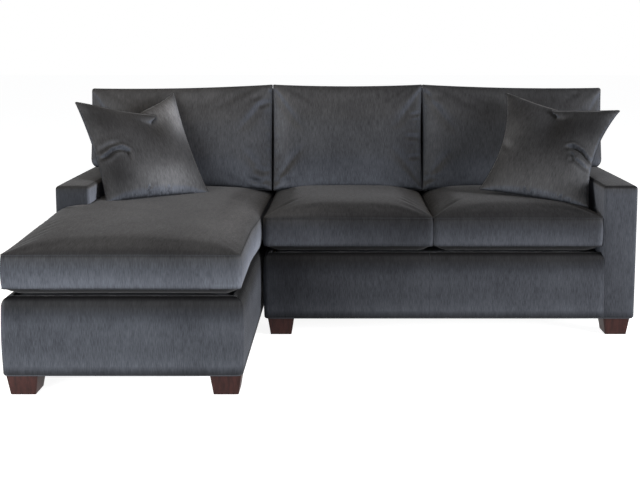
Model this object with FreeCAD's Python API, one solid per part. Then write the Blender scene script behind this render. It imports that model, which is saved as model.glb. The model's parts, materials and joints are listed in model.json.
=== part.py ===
import FreeCAD, Part
import math
import os

# A sectional sofa: a chaise section at the viewer's left and a loveseat section
# at the right, each with its own frame, springs, covers and four feet, joined by
# two slip-in connectors. Loose seat cushions, back cushions and throw pillows lie
# on them. Lengths are millimetres. The origin is the middle of the footprint on
# the floor, +Z is up, +X is to the viewer's right and the front looks along -Y.

# Overall sizes
overall_width = 2336.0
overall_depth = 1665.0
overall_height = 990.0
chaise_reach = 675.0
chaise_width = 824.0
section_gap = 8.0

# Heights above the floor
deck_height = 336.0
arm_height = 618.0
back_height = 865.0

# Arms, back and padded covers
arm_width = 132.0
back_depth = 220.0
back_lean = math.radians(7.2)
outside_rake = 30.0
cover_wall = 12.0
cover_tuck = 24.0
edge_round = 16.0
corner_round = 22.0
front_panel_wrap = 46.0
welt_height = 6.0
welt_depth = 6.0
facing_width = 128.0

# Clearances
clearance = 0.3
core_clearance = 1.0
seat_rear_gap = 5.0
overrun = 60.0

# Frame timber
rail_thickness = 25.0
rail_floor_gap = 2.0
block_size = 95.0
block_height = 50.0
stretcher_width = 60.0
stretcher_height = 20.0
post_depth = 45.0
post_width = 60.0
arm_post_depth = 35.0
arm_rail_height = 22.0
back_rail_height = 60.0

# Springs, clips and webbing
wire = 4.0
spring_spacing = 172.0
spring_pitch = 66.0
spring_width = 46.0
spring_seat = 14.0
clip_sheet = 1.5
clip_width = 22.0
clip_length = 16.0
strap_width = 50.0
strap_sheet = 2.0
strap_spacing = 150.0

# Deck and bottom cloth
deck_cloth = 3.0
bottom_cloth = 1.5

# Feet, glides and hanger bolts
foot_height = 72.0
foot_top = 107.0
foot_bottom = 85.0
foot_inset = 14.0
glide_height = 3.0
glide_radius = 11.0
bolt_radius = 4.0
bolt_in_foot = 38.0
bolt_in_block = 44.0

# Slip-in connectors in the gap between the sections
connector_sheet = 1.5
connector_play = 0.6
socket_height = 48.0
socket_width = 44.0
tongue_width = 30.0
tongue_head = 34.0
connector_base = 190.0
connector_setback_share = 0.3

# Seat cushions
seat_middle = 350.0
seat_underside = 32.0
seat_boxing = 112.0
seat_crown = 62.0
seat_crown_inset_share = 0.26
seat_foot_inset = 70.0
seat_corner = 30.0
seat_draw = 5.0
box_bulge = 4.0
seat_bend_share = 0.104

# Back cushions
back_front_seam = 225.0
back_rear_seam = 24.0
back_crown = 38.0
back_crown_inset_share = 0.22
back_bend_share = 0.11
back_foot_inset = 50.0
back_corner = 26.0
back_top_draw = 9.0
back_side_draw = 5.0
back_outer_drop = 24.0
wing_corner_share = 0.15

# Throw pillows
pillow_size = 492.0
pillow_crown = 78.0
pillow_crown_inset_share = 0.3
pillow_corner = 9.0
pillow_draw = 17.0
pillow_chop = 62.0
pillow_chop_offset = 14.0
pillow_seam_wall = 26.0
pillow_bend_share = 0.12

# Cushion casings and inner corners
casing_wall = 14.0
inner_corner = 14.0

# Where the middle of each throw pillow stands, and its turn, lean and roll in degrees
left_pillow_from_arm = 147.0
left_pillow_before_back = 448.0
left_pillow_angles = (38.0, 33.0, 0.5)
right_pillow_from_arm = 182.0
right_pillow_before_back = 444.0
right_pillow_angles = (-23.0, 36.0, -5.0)

# How a crown rises from its seam: share of the crown's height, share of its inset
crown_shares = ((0.52, 0.14), (0.87, 0.48), (1.0, 1.0))
settle_rounds = 12

# Worked out from the sizes above
right_side = overall_width / 2
left_side = -right_side
back_plane = overall_depth / 2
chaise_front = -back_plane
arm_front = chaise_front + chaise_reach
seat_well_depth = overall_depth - chaise_reach - back_depth
chaise_right = left_side + chaise_width
loveseat_left = chaise_right + section_gap
base_bottom = glide_height + foot_height
frame_bottom = base_bottom + bottom_cloth + rail_floor_gap
well_back = arm_front + seat_well_depth
lean_sin = math.sin(back_lean)
lean_cos = math.cos(back_lean)
lean_tan = math.tan(back_lean)
cushion_bottom = deck_height + clearance
seat_crown_inset = seat_well_depth * seat_crown_inset_share
seat_bend = seat_well_depth * seat_bend_share
pillow_crown_inset = pillow_size * pillow_crown_inset_share
pillow_bend = pillow_size * pillow_bend_share


class Section:
    """One of the two sections: its plan and the side that its arm is on."""

    def __init__(self, name, left, right, front, arm_side):
        self.name = name
        self.left = left
        self.right = right
        self.front = front
        self.arm_side = arm_side
        self.arm_outer = left if arm_side < 0 else right
        self.arm_inner = self.arm_outer - arm_side * arm_width
        self.well_left = self.arm_inner if arm_side < 0 else left
        self.well_right = right if arm_side < 0 else self.arm_inner


chaise = Section("chaise", left_side, chaise_right, chaise_front, -1)
loveseat = Section("loveseat", loveseat_left, right_side, arm_front, 1)


# Small geometry helpers

def vec(x, y, z):
    return FreeCAD.Vector(x, y, z)


def block(x0, x1, y0, y1, z0, z1):
    """A box between two corners, given in any order."""
    x0, x1 = sorted((x0, x1))
    y0, y1 = sorted((y0, y1))
    z0, z1 = sorted((z0, z1))
    return Part.makeBox(x1 - x0, y1 - y0, z1 - z0, vec(x0, y0, z0))


def flat_face(points):
    return Part.Face(Part.makePolygon(points + points[:1]))


def prism_x(profile, x0, x1):
    """A side profile, given as (y, z) points, drawn out from x0 to x1."""
    points = [vec(x0, y, z) for y, z in profile]
    return flat_face(points).extrude(vec(x1 - x0, 0, 0))


def prism_y(profile, y0, y1):
    """A front profile, given as (x, z) points, drawn out from y0 to y1."""
    points = [vec(x, y0, z) for x, z in profile]
    return flat_face(points).extrude(vec(0, y1 - y0, 0))


def prism_z(profile, z0, z1):
    """A plan, given as (x, y) points, drawn up from z0 to z1."""
    points = [vec(x, y, z0) for x, y in profile]
    return flat_face(points).extrude(vec(0, 0, z1 - z0))


def rounded(shape, radius, wanted):
    """Round the edges whose middle point passes the test."""
    edges = [edge for edge in shape.Edges if wanted(edge.CenterOfMass)]
    return shape.makeFillet(radius, edges)


def near(a, b):
    return abs(a - b) < clearance


def back_line(z):
    """Depth of the leaning inside back at a height."""
    return well_back + (z - deck_height) * lean_tan


def unit(dx, dy):
    length = math.hypot(dx, dy)
    return dx / length, dy / length


# Outlines: corners are (a, b, setback, draw), listed anticlockwise. The setback is
# where a corner's round starts, and the draw is how far the middle of the side that
# follows is pulled in. Both may be zero

def drawn_in(corners, bend):
    """Give each side with a draw a middle corner that stands that far inwards."""
    drawn = []
    count = len(corners)
    for index, (a, b, setback, draw) in enumerate(corners):
        after = corners[(index + 1) % count]
        drawn.append((a, b, setback, 0))
        if draw:
            ux, uy = unit(after[0] - a, after[1] - b)
            drawn.append(((a + after[0]) / 2 - uy * draw, (b + after[1]) / 2 + ux * draw, bend, 0))
    return drawn


def without_draw(corners):
    return [(a, b, setback, 0) for a, b, setback, _ in corners]


def chamfered(arcs):
    """The same outline with a straight cut in place of each corner's arc."""
    ends = [end for arc in arcs for end in (arc[0], arc[2])[:1 + is_round(arc)]]
    return [(end, end, end) for end in ends]


def inset_corners(corners, inset):
    """Move every side of an outline inwards by the same distance."""
    moved = []
    count = len(corners)
    for index, (a, b, setback, draw) in enumerate(corners):
        before = corners[index - 1]
        after = corners[(index + 1) % count]
        ux, uy = unit(a - before[0], b - before[1])
        vx, vy = unit(after[0] - a, after[1] - b)
        turn = 1 + ux * vx + uy * vy
        moved.append((a - (uy + vy) / turn * inset, b + (ux + vx) / turn * inset, setback, draw))
    return moved


def corner_arcs(corners, place):
    """Start, middle and end of each corner's arc, carried into space by place."""
    arcs = []
    count = len(corners)
    for index, (a, b, setback, _) in enumerate(corners):
        before = corners[index - 1]
        after = corners[(index + 1) % count]
        ux, uy = unit(before[0] - a, before[1] - b)
        vx, vy = unit(after[0] - a, after[1] - b)
        half_sine = math.sqrt((1 - ux * vx - uy * vy) / 2)
        pull = setback / (2 * (1 + half_sine))
        arcs.append((place(a + ux * setback, b + uy * setback),
                     place(a + (ux + vx) * pull, b + (uy + vy) * pull),
                     place(a + vx * setback, b + vy * setback)))
    return arcs


def is_round(arc):
    return arc[0].distanceToPoint(arc[2]) > clearance


def outline_face(arcs):
    """The flat face inside an outline of corner arcs and straight sides."""
    edges = []
    for index, (start, middle, end) in enumerate(arcs):
        following = arcs[(index + 1) % len(arcs)][0]
        if is_round(arcs[index]):
            edges.append(Part.Arc(start, middle, end).toShape())
        edges.append(Part.makeLine(end, following))
    return Part.Face(Part.Wire(edges))


def soft_form(levels):
    """A solid lofted straight from each outline to the next, with flat ends.

    A corner keeps its arc from level to level, so it travels as the arc moved along,
    and a side stays parallel to itself, so it travels as a flat face.
    """
    faces = [outline_face(levels[0]), outline_face(levels[-1])]
    for low, high in zip(levels, levels[1:]):
        for index, (start, middle, end) in enumerate(low):
            following = (index + 1) % len(low)
            if is_round(low[index]):
                travel = high[index][0] - start
                faces.append(Part.Arc(start, middle, end).toShape().extrude(travel))
            faces.append(flat_face([end, low[following][0], high[following][0], high[index][2]]))
    shell = Part.Shell(faces)
    shell.sewShape()
    solid = Part.Solid(shell)
    if solid.Volume < 0:
        solid.reverse()
    return solid


def soft_prism(corners, place, travel):
    """An outline's face drawn out along a vector."""
    return outline_face(corner_arcs(corners, place)).extrude(travel)


# Frame timber of one section

def rail_top():
    return deck_height - deck_cloth - deck_pad_height() - wire - clip_sheet - 3 * clearance


def deck_pad_height():
    return 2 * cover_wall


def inside_left(section):
    return section.left + cover_wall + clearance


def inside_right(section):
    return section.right - cover_wall - clearance


def inside_front(section):
    return section.front + cover_wall + clearance


def rear_rail_front():
    return back_plane - outside_rake - cover_wall - clearance - rail_thickness


def seat_rail_back():
    return back_line(frame_bottom) - 2 * clearance


def arm_side_rail(section):
    """X of the face of the seat rail beside the arm that looks at the arm."""
    return section.arm_inner - section.arm_side * clearance


def spring_bays(section):
    """Open rectangles of the frame that springs span: x0, x1, y0, y1."""
    front = inside_front(section) + rail_thickness
    rear = seat_rail_back() - rail_thickness
    if section.arm_side < 0:
        left = inside_left(section) + rail_thickness
        right = inside_right(section) - rail_thickness
        return [(left, right, front, arm_front - rail_thickness),
                (section.arm_inner + rail_thickness, right, arm_front, rear)]
    left = inside_left(section) + rail_thickness
    right = arm_side_rail(section) - rail_thickness
    return [(left, right, front, rear)]


def base_rails(section):
    """Front, side, seat and rear rails, butted at their ends."""
    low, high = frame_bottom, rail_top()
    left, right = inside_left(section), inside_right(section)
    front = inside_front(section)
    behind = front + rail_thickness
    rear = rear_rail_front()
    rails = [
        block(left, right, front, behind, low, high),
        block(left, left + rail_thickness, behind, rear, low, high),
        block(right - rail_thickness, right, behind, rear, low, high),
        block(left, right, rear, rear + rail_thickness, low, high),
    ]
    seat_back = seat_rail_back()
    seat_front = seat_back - rail_thickness
    rails.append(block(left + rail_thickness, right - rail_thickness,
                       seat_front, seat_back, low, high))
    beside = arm_side_rail(section)
    inner = beside - section.arm_side * rail_thickness
    start = behind
    if section.front < arm_front:
        start = arm_front
        rails.append(block(left + rail_thickness, right - rail_thickness,
                           arm_front - rail_thickness, arm_front, low, high))
    rails.append(block(beside, inner, start, seat_front, low, high))
    return rails


def stretchers(section):
    """Two low boards that tie the front rail to the seat's rear rail."""
    low = frame_bottom
    front = inside_front(section) + rail_thickness
    rear = seat_rail_back() - rail_thickness
    ends = [front, arm_front - rail_thickness, arm_front, rear]
    spans = [(front, rear)] if section.front == arm_front else list(zip(ends[::2], ends[1::2]))
    boards = []
    for share in (1 / 3, 2 / 3):
        middle = section.well_left + (section.well_right - section.well_left) * share
        for start, end in spans:
            boards.append(block(middle - stretcher_width / 2, middle + stretcher_width / 2,
                                start, end, low, low + stretcher_height))
    return boards


def foot_centres(section):
    """Middle of each foot in plan, named by its corner."""
    reach = foot_inset + foot_top / 2
    left, right = section.left + reach, section.right - reach
    front = section.front + reach
    rear = back_plane - outside_rake - reach
    return {"front_left": (left, front), "front_right": (right, front),
            "rear_left": (left, rear), "rear_right": (right, rear)}


def corner_blocks(section):
    """Glued blocks in the frame's corners, which the feet's bolts screw into."""
    blocks = []
    left = inside_left(section) + rail_thickness
    right = inside_right(section) - rail_thickness
    front = inside_front(section) + rail_thickness
    rear = rear_rail_front()
    low, high = frame_bottom, frame_bottom + block_height
    for x0 in (left, right - block_size):
        for y0 in (front, rear - block_size):
            blocks.append(block(x0, x0 + block_size, y0, y0 + block_size, low, high))
    return blocks


def arm_frame(section):
    """Two posts, a board along the top and a lower rail, inside the arm's cover."""
    side = section.arm_side
    inner = section.arm_inner + side * (cover_wall + clearance)
    outer = section.arm_outer - side * (cover_wall + rail_thickness + 2 * clearance)
    front = arm_front + cover_wall + 2 * clearance
    if section.front == arm_front:
        front += rail_thickness
    low = frame_bottom + block_height + clearance
    top = arm_height - cover_wall - clearance
    under = top - arm_rail_height
    wide = section.arm_outer - side * (cover_wall + clearance)
    rear_top = back_line(under) - cover_wall
    rear = seat_rail_back() - rail_thickness - clearance - arm_post_depth
    board = block(inner, wide, arm_front + cover_wall + clearance, rear_top, under, top)
    posts = [block(inner, outer, front, front + arm_post_depth, low, under),
             block(inner, outer, rear, rear + arm_post_depth, low, under)]
    rail_low = deck_height + cover_wall
    rail = block(inner, inner + side * rail_thickness, front + arm_post_depth, rear,
                 rail_low, rail_low + back_rail_height)
    return [board] + posts + [rail]


def lean_slab(x0, x1, low, high, depth):
    """A leaning board just behind the inside back's padding."""
    setback = (cover_wall + strap_sheet) / lean_cos + 2 * clearance
    profile = [(back_line(low) + setback, low),
               (back_line(high) + setback, high),
               (back_line(high) + setback + depth, high),
               (back_line(low) + setback + depth, low)]
    return prism_x(profile[::-1], x0, x1)


def back_posts(section):
    """Left edge of each leaning post."""
    left = inside_left(section)
    right = inside_right(section) - post_width
    posts = [left, right]
    if section.front == arm_front:
        posts.insert(1, (left + right) / 2)
    return posts


def back_frame(section):
    """Leaning posts with rails between them at the top and at deck height."""
    top = back_height - cover_wall - clearance
    low = rail_top() + clearance
    pieces = []
    posts = back_posts(section)
    for x in posts:
        pieces.append(lean_slab(x, x + post_width, low, top, post_depth))
    for x, following in zip(posts, posts[1:]):
        for base in (deck_height, top - back_rail_height):
            pieces.append(lean_slab(x + post_width, following, base,
                                    base + back_rail_height, post_depth))
    pieces.append(back_sill(section, low))
    return pieces


def back_sill(section, high):
    """The board across the frame that the leaning posts stand on."""
    front = seat_rail_back()
    return block(inside_left(section) + rail_thickness, inside_right(section) - rail_thickness,
                 front, rear_rail_front(), high - clearance - rail_thickness, high - clearance)


# Springs and webbing

def ribbon(points, width):
    """A flat band of even width along a line of plan points."""
    left, right = [], []
    last = len(points) - 1
    for index, (x, y) in enumerate(points):
        before = points[max(index - 1, 0)]
        after = points[min(index + 1, last)]
        ends = index in (0, last)
        ux, uy = unit(x - before[0], y - before[1]) if index else unit(after[0] - x, after[1] - y)
        vx, vy = unit(after[0] - x, after[1] - y) if index < last else (ux, uy)
        turn = 2 if ends else 1 + ux * vx + uy * vy
        shift_x = -(uy + vy) / turn * width / 2
        shift_y = (ux + vx) / turn * width / 2
        left.append((x + shift_x, y + shift_y))
        right.append((x - shift_x, y - shift_y))
    return left + right[::-1]


def wave(length):
    """A sinuous spring's centre line, along its length from zero."""
    turns = max(int(length / spring_pitch), 2)
    step = length / turns
    points = [(0, -spring_width / 2)]
    side = 1
    for turn in range(turns):
        reach = turn * step
        points.append((reach, side * spring_width / 2))
        points.append((reach + step, side * spring_width / 2))
        side = -side
    points.append((length, side * spring_width / 2))
    return points


def spring_lines(section):
    """Each spring's place: along X or Y, its middle line, its start and its end."""
    lines = []
    for x0, x1, y0, y1 in spring_bays(section):
        along_x = section.front < arm_front
        across = (y1 - y0) if along_x else (x1 - x0)
        count = max(int(across / spring_spacing), 1)
        gap = across / count
        for index in range(count):
            middle = (y0 if along_x else x0) + (index + 1 / 2) * gap
            start, end = (x0, x1) if along_x else (y0, y1)
            lines.append((along_x, middle, start - spring_seat, end + spring_seat))
    return lines


def seat_springs(section):
    low = rail_top() + clearance
    springs = []
    for along_x, middle, start, end in spring_lines(section):
        band = ribbon(wave(end - start - wire), wire)
        if along_x:
            plan = [(start + wire / 2 + a, middle + b) for a, b in band]
        else:
            plan = [(middle - b, start + wire / 2 + a) for a, b in band]
        springs.append(prism_z(plan, low, low + wire))
    return springs


def spring_clips(section):
    """Folded strips that hold the spring ends down on the rails."""
    low = rail_top()
    high = low + wire + 2 * clearance
    clips = []
    for along_x, middle, start, end in spring_lines(section):
        for edge, inward in ((start, 1), (end, -1)):
            outer = edge - inward * (clip_sheet + clearance)
            profile = [(outer, low), (outer, high + clip_sheet),
                       (outer + inward * clip_length, high + clip_sheet),
                       (outer + inward * clip_length, high),
                       (outer + inward * clip_sheet, high),
                       (outer + inward * clip_sheet, low)]
            half = clip_width / 2
            if along_x:
                clips.append(prism_y(profile, middle - half, middle + half))
            else:
                clips.append(prism_x(profile, middle - half, middle + half))
    return clips


def back_webbing(section):
    """Elastic straps stapled up the front of the back frame."""
    setback = cover_wall / lean_cos + clearance
    low = deck_height + clearance
    high = back_height - cover_wall - 2 * clearance
    left = inside_left(section) + post_width
    right = inside_right(section) - post_width
    count = max(int((right - left) / strap_spacing), 1)
    gap = (right - left) / count
    thick = strap_sheet / lean_cos
    straps = []
    for index in range(count):
        x = left + (index + 1 / 2) * gap - strap_width / 2
        profile = [(back_line(low) + setback, low), (back_line(low) + setback + thick, low),
                   (back_line(high) + setback + thick, high), (back_line(high) + setback, high)]
        straps.append(prism_x(profile, x, x + strap_width))
    return straps


# Deck, covers and bottom cloth

def deck_plan(section, gap):
    """Plan of the deck between the covers, arm and back, stepped round the arm."""
    left, right = section.left + cover_wall + gap, section.right - cover_wall - gap
    front = section.front + cover_wall + gap
    rear = back_line(rail_top()) - gap
    beside = section.arm_inner - section.arm_side * gap
    if section.front < arm_front:
        step = arm_front - gap
        return [(left, front), (right, front), (right, rear), (beside, rear),
                (beside, step), (left, step)]
    return [(left, front), (beside, front), (beside, rear), (left, rear)]


def deck_pad(section):
    low = rail_top() + wire + clip_sheet + 3 * clearance
    return [prism_z(deck_plan(section, clearance), low, low + deck_pad_height())]


def deck_cover(section):
    low = deck_height - deck_cloth
    return [prism_z(deck_plan(section, clearance), low, deck_height)]


def footprint(section, inset, low, high):
    """The section's plan with its round corners, drawn up between two heights."""
    radius = max(corner_round - inset, corner_round / 4)
    left, right = section.left + inset, section.right - inset
    front, rear = section.front + inset, back_plane - outside_rake - inset
    corners = [(left, front, radius, 0), (right, front, radius, 0),
               (right, rear, radius, 0), (left, rear, radius, 0)]
    return soft_prism(corners, lambda x, y: vec(x, y, low), vec(0, 0, high - low))


def base_cover(section):
    """Front panel that wraps the corners, and the side panels behind it."""
    low, high = base_bottom + welt_height, deck_height
    hollow = block(section.left + cover_wall, section.right - cover_wall,
                   section.front + cover_wall, back_plane, low, high)
    ring = footprint(section, 0, low, high).cut(hollow)
    wrap = section.front + front_panel_wrap
    rear = back_line(base_bottom) - clearance
    left, right = section.left - overrun, section.right + overrun
    middle = (section.left + section.right) / 2
    regions = []
    if section.front < arm_front:
        regions.append(block(left, right, section.front - overrun, wrap, low, high))
        regions.append(block(left, middle, wrap, arm_front - clearance, low, high))
        regions.append(block(middle, right, wrap, rear, low, high))
    else:
        facing = right_side - facing_width
        seam = seat_middle - back_corner / 2
        regions.append(block(left, seam, section.front - overrun, wrap, low, high))
        regions.append(block(seam, facing, section.front - overrun, wrap, low, high))
        regions.append(block(left, middle, wrap, rear, low, high))
    return [ring.common(region) for region in regions]


def arm_profile(inset, low, tail):
    """Side view of an arm: square front, leaning rear against the back."""
    front, top = arm_front + inset, arm_height - inset
    return [(front, low), (back_line(low) + tail, low), (back_line(top) + tail, top), (front, top)]


def arm_body(section, low):
    """An arm's outside: what its side, front and top views share, all with round edges."""
    left, right = sorted((section.arm_inner, section.arm_outer))
    setbacks = (0, 0, 0, edge_round)
    side_view = [(y, z, setback, 0)
                 for (y, z), setback in zip(arm_profile(0, low, -clearance), setbacks)]
    front_view = [(left, low, 0, 0), (right, low, 0, 0),
                  (right, arm_height, edge_round, 0), (left, arm_height, edge_round, 0)]
    top_view = [(left, arm_front, edge_round, 0), (right, arm_front, edge_round, 0),
                (right, back_plane, 0, 0), (left, back_plane, 0, 0)]
    body = soft_prism(side_view, lambda y, z: vec(left, y, z), vec(right - left, 0, 0))
    body = body.common(soft_prism(front_view, lambda x, z: vec(x, arm_front, z),
                                  vec(0, back_plane - arm_front, 0)))
    return body.common(soft_prism(top_view, lambda x, y: vec(x, y, low),
                                  vec(0, 0, arm_height - low)))


def arm_cover(section):
    """Padded cover of the arm: top, front, inside and outside panels."""
    side = section.arm_side
    low = base_bottom + welt_height
    inner, outer = section.arm_inner, section.arm_outer
    cavity = prism_x(arm_profile(cover_wall, low - overrun, overrun),
                     inner + side * cover_wall, outer - side * cover_wall)
    cover = arm_body(section, low).cut(cavity)
    under = deck_height - deck_cloth - cover_tuck
    reach = outer - side * cover_wall
    front = arm_front - overrun
    if section.front == arm_front:
        front = arm_front + cover_wall
        facing = section.arm_outer - side * facing_width
        cover = cover.cut(block(inner - side * overrun, facing, arm_front - overrun,
                                arm_front + overrun, low - overrun, cushion_bottom))
    return [cover.cut(block(inner - side * overrun, reach, front, back_plane,
                            low - overrun, under))]


def back_profile(inset, low):
    """Side view of the back: leaning inside, raked outside."""
    top = back_height - inset
    rake_top = back_height - 2 * edge_round
    fore = inset / lean_cos
    outside = back_plane - inset
    outside_low = outside - outside_rake * (rake_top - low) / (rake_top - base_bottom)
    return [(back_line(low) + fore, low), (outside_low, low), (outside, rake_top),
            (outside, top), (back_line(top) + fore, top)]


def back_cover(section):
    """Padded cover of the back: inside, top, ends and outside panels."""
    low = base_bottom + welt_height
    left, right = section.left, section.right
    cover = prism_x(back_profile(0, low), left, right)
    cover = rounded(cover, edge_round, lambda p: near(p.z, back_height))
    cover = cover.cut(prism_x(back_profile(cover_wall, low - overrun),
                              left + cover_wall, right - cover_wall))
    under = deck_height - deck_cloth - cover_tuck
    inside = block(left + cover_wall, right - cover_wall, well_back - seat_well_depth / 2,
                   rear_rail_front(), low - overrun, under)
    return [cover.cut(inside)]


def bottom_welt(section):
    """The narrow band sewn round the bottom edge of the base."""
    low, high = base_bottom, base_bottom + welt_height - clearance
    ring = footprint(section, 0, low, high)
    return [ring.cut(footprint(section, welt_depth, low - overrun, high + overrun))]


def dust_cover(section):
    """Thin cloth under the frame, cut square round the feet's bolts."""
    gap = welt_depth + clearance
    sheet = footprint(section, gap, base_bottom, base_bottom + bottom_cloth)
    half = bolt_radius + 2 * clearance
    for x, y in foot_centres(section).values():
        sheet = sheet.cut(block(x - half, x + half, y - half, y + half,
                                base_bottom - overrun, base_bottom + overrun))
    return [sheet]


# Feet

def square(x, y, z, width):
    half = width / 2
    corners = [(-half, -half, 0, 0), (half, -half, 0, 0), (half, half, 0, 0), (-half, half, 0, 0)]
    return corner_arcs(corners, lambda a, b: vec(x + a, y + b, z))


def foot(x, y):
    """A tapered block foot of solid wood."""
    return [soft_form([square(x, y, glide_height, foot_bottom),
                       square(x, y, base_bottom - clearance, foot_top)])]


def foot_glides(section):
    return [Part.makeCylinder(glide_radius, glide_height, vec(x, y, 0))
            for x, y in foot_centres(section).values()]


def foot_bolts(section):
    """Hanger bolts, screwed into the feet and the corner blocks."""
    low, high = base_bottom - bolt_in_foot, frame_bottom + bolt_in_block
    return [Part.makeCylinder(bolt_radius, high - low, vec(x, y, low))
            for x, y in foot_centres(section).values()]


# Connectors between the sections

def connector_places():
    setback = connector_setback_share * seat_well_depth
    return [arm_front + setback, well_back - setback]


def chaise_connector():
    """Two sheet sockets, open at the top, on the chaise section's side."""
    face = chaise_right
    pocket = connector_sheet + 2 * connector_play
    strap = face + connector_sheet + pocket
    sockets = []
    for y in connector_places():
        half = socket_width / 2
        low = y - half + connector_sheet
        high = y + half - connector_sheet
        outer = block(face, strap + connector_sheet, y - half, y + half,
                      connector_base, connector_base + socket_height)
        hollow = block(face + connector_sheet, strap, low, high,
                       connector_base - overrun, connector_base + socket_height + overrun)
        sockets.append(outer.cut(hollow))
    return sockets


def loveseat_connector():
    """Two cranked sheet tongues that drop into the sockets."""
    face = loveseat_left
    tongue_left = chaise_right + connector_sheet + connector_play
    tongue_right = tongue_left + connector_sheet
    plate_left = face - connector_sheet
    shoulder = connector_base + socket_height + connector_play
    top = shoulder + tongue_head
    profile = [(tongue_left, connector_base), (tongue_right, connector_base),
               (tongue_right, shoulder), (face, shoulder), (face, top), (plate_left, top),
               (plate_left, shoulder + connector_sheet), (tongue_left, shoulder + connector_sheet)]
    half = tongue_width / 2
    return [prism_y(profile, y - half, y + half) for y in connector_places()]


# Seat cushions

def seat_corners(left, right, front, notch):
    """Plan of a boxed seat cushion, wrapped round the arm where there is a notch."""
    rear = well_back - seat_rear_gap
    turned = seat_corner
    if notch is None:
        return [(left, front, turned, seat_draw), (right, front, turned, seat_draw),
                (right, rear, turned, 0), (left, rear, turned, seat_draw)]
    step = arm_front - clearance
    return [(left, front, turned, seat_draw), (right, front, turned, seat_draw),
            (right, rear, turned, 0), (notch, rear, turned, 0),
            (notch, step, inner_corner, 0), (left, step, turned, seat_draw)]


def flat_level(corners, inset, height):
    return corner_arcs(inset_corners(corners, inset), lambda x, y: vec(x, y, height))


def seat_levels():
    """Inset and height of each level of a seat cushion, from its underside up."""
    low = cushion_bottom + seat_underside
    high = low + seat_boxing
    levels = [(seat_foot_inset, cushion_bottom),
              (seat_foot_inset / 4, (cushion_bottom + low) / 2),
              (box_bulge, low), (0, (low + high) / 2), (box_bulge, high)]
    for rise, run in crown_shares:
        levels.append((box_bulge + seat_crown_inset * run, high + seat_crown * rise))
    return levels


def seat_filling_levels(gap):
    low = cushion_bottom + seat_underside
    high = low + seat_boxing
    wall = box_bulge + gap
    return [(seat_foot_inset + wall, cushion_bottom + gap), (wall, low), (wall, high),
            (seat_crown_inset + wall, high + seat_crown - gap)]


def stuffed(corners, bend, levels, filling_levels, place_level):
    """A sewn casing and the plain filling inside it."""
    outline, inside = drawn_in(corners, bend), without_draw(corners)
    casing = soft_form([place_level(outline, *step) for step in levels])
    hollow, filling = [soft_form([chamfered(place_level(inside, *step))
                                  for step in filling_levels(wall)])
                       for wall in (casing_wall, casing_wall + core_clearance)]
    return casing, hollow, filling


def seat_cushion(left, right, front, notch):
    corners = seat_corners(left, right, front, notch)
    casing, hollow, filling = stuffed(corners, seat_bend, seat_levels(), seat_filling_levels,
                                      flat_level)
    return casing.cut(hollow), filling


# Back cushions: a is x, b runs up the leaning back, and depth is measured square
# to the back's slope, forwards from the inside back

def on_slope(x, up, depth):
    return vec(x, well_back + up * lean_sin - depth * lean_cos,
               deck_height + up * lean_cos + depth * lean_sin)


def back_foot():
    """How far up the slope a back cushion clears the crown of the seat below it."""
    rear = well_back - seat_rear_gap
    heights = [(height - deck_height) * lean_cos + (rear - inset - well_back) * lean_sin
               for inset, height in seat_levels()]
    return max(heights) + clearance


def back_top():
    return (overall_height - deck_height - back_front_seam * lean_sin) / lean_cos


def back_rise():
    """Height of a back cushion up the slope, from which its crown and bends follow."""
    return back_top() - back_foot()


def wing_corner():
    return (back_top() - back_outer_drop - wing_foot(0)) * wing_corner_share


def wing_foot(depth):
    """How far up the slope a wing clears the arm's top at a depth."""
    return (arm_height + clearance - deck_height - depth * lean_sin) / lean_cos


def back_corners(left, right, arm_side, depth):
    """Front view of a back cushion, with a wing over the arm on its arm side."""
    foot_up, top = back_foot(), back_top()
    low_top = top - back_outer_drop
    turned = back_corner
    if arm_side == 0:
        return [(left, foot_up, turned, 0), (right, foot_up, turned, back_side_draw),
                (right, top, turned, back_top_draw), (left, top, turned, back_side_draw)]
    inner = left + arm_width + clearance
    corners = [(inner, foot_up, turned, 0), (right, foot_up, turned, back_side_draw),
               (right, top, turned, back_top_draw), (left, low_top, turned, 0),
               (left, wing_foot(depth), wing_corner(), 0),
               (inner, wing_foot(depth), inner_corner, 0)]
    return corners if arm_side < 0 else mirrored(corners, left + right)


def mirrored(corners, total):
    """The same outline the other way round, still listed anticlockwise."""
    turned = []
    for index, (a, b, setback, _) in enumerate(corners):
        turned.append((total - a, b, setback, corners[index - 1][3]))
    return turned[::-1]


def back_levels():
    """Inset and depth of each level of a back cushion, from its rear face forwards."""
    levels = [(back_foot_inset, clearance), (back_foot_inset / 4, back_rear_seam / 2),
              (box_bulge, back_rear_seam), (0, (back_rear_seam + back_front_seam) / 2),
              (box_bulge, back_front_seam)]
    crown_inset = back_rise() * back_crown_inset_share
    for rise, run in crown_shares:
        levels.append((box_bulge + crown_inset * run, back_front_seam + back_crown * rise))
    return levels


def back_filling_levels(gap):
    wall = box_bulge + gap
    return [(back_foot_inset + wall, clearance + gap), (wall, back_rear_seam + gap / 2),
            (wall, back_front_seam),
            (back_rise() * back_crown_inset_share + wall, back_front_seam + back_crown - gap)]


def back_cushion(left, right, arm_side):
    """Casing and filling of one loose back cushion."""
    def back_level(corners, inset, depth):
        rise = wing_foot(depth) - wing_foot(0)
        moved = [(a, b + rise, setback, draw) if near(b, wing_foot(0)) else (a, b, setback, draw)
                 for a, b, setback, draw in corners]
        return corner_arcs(inset_corners(moved, inset), lambda x, up: on_slope(x, up, depth))
    corners = back_corners(left, right, arm_side, 0)
    casing, hollow, filling = stuffed(corners, back_rise() * back_bend_share, back_levels(),
                                      back_filling_levels, back_level)
    return casing.cut(hollow), filling


# Throw pillows

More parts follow.
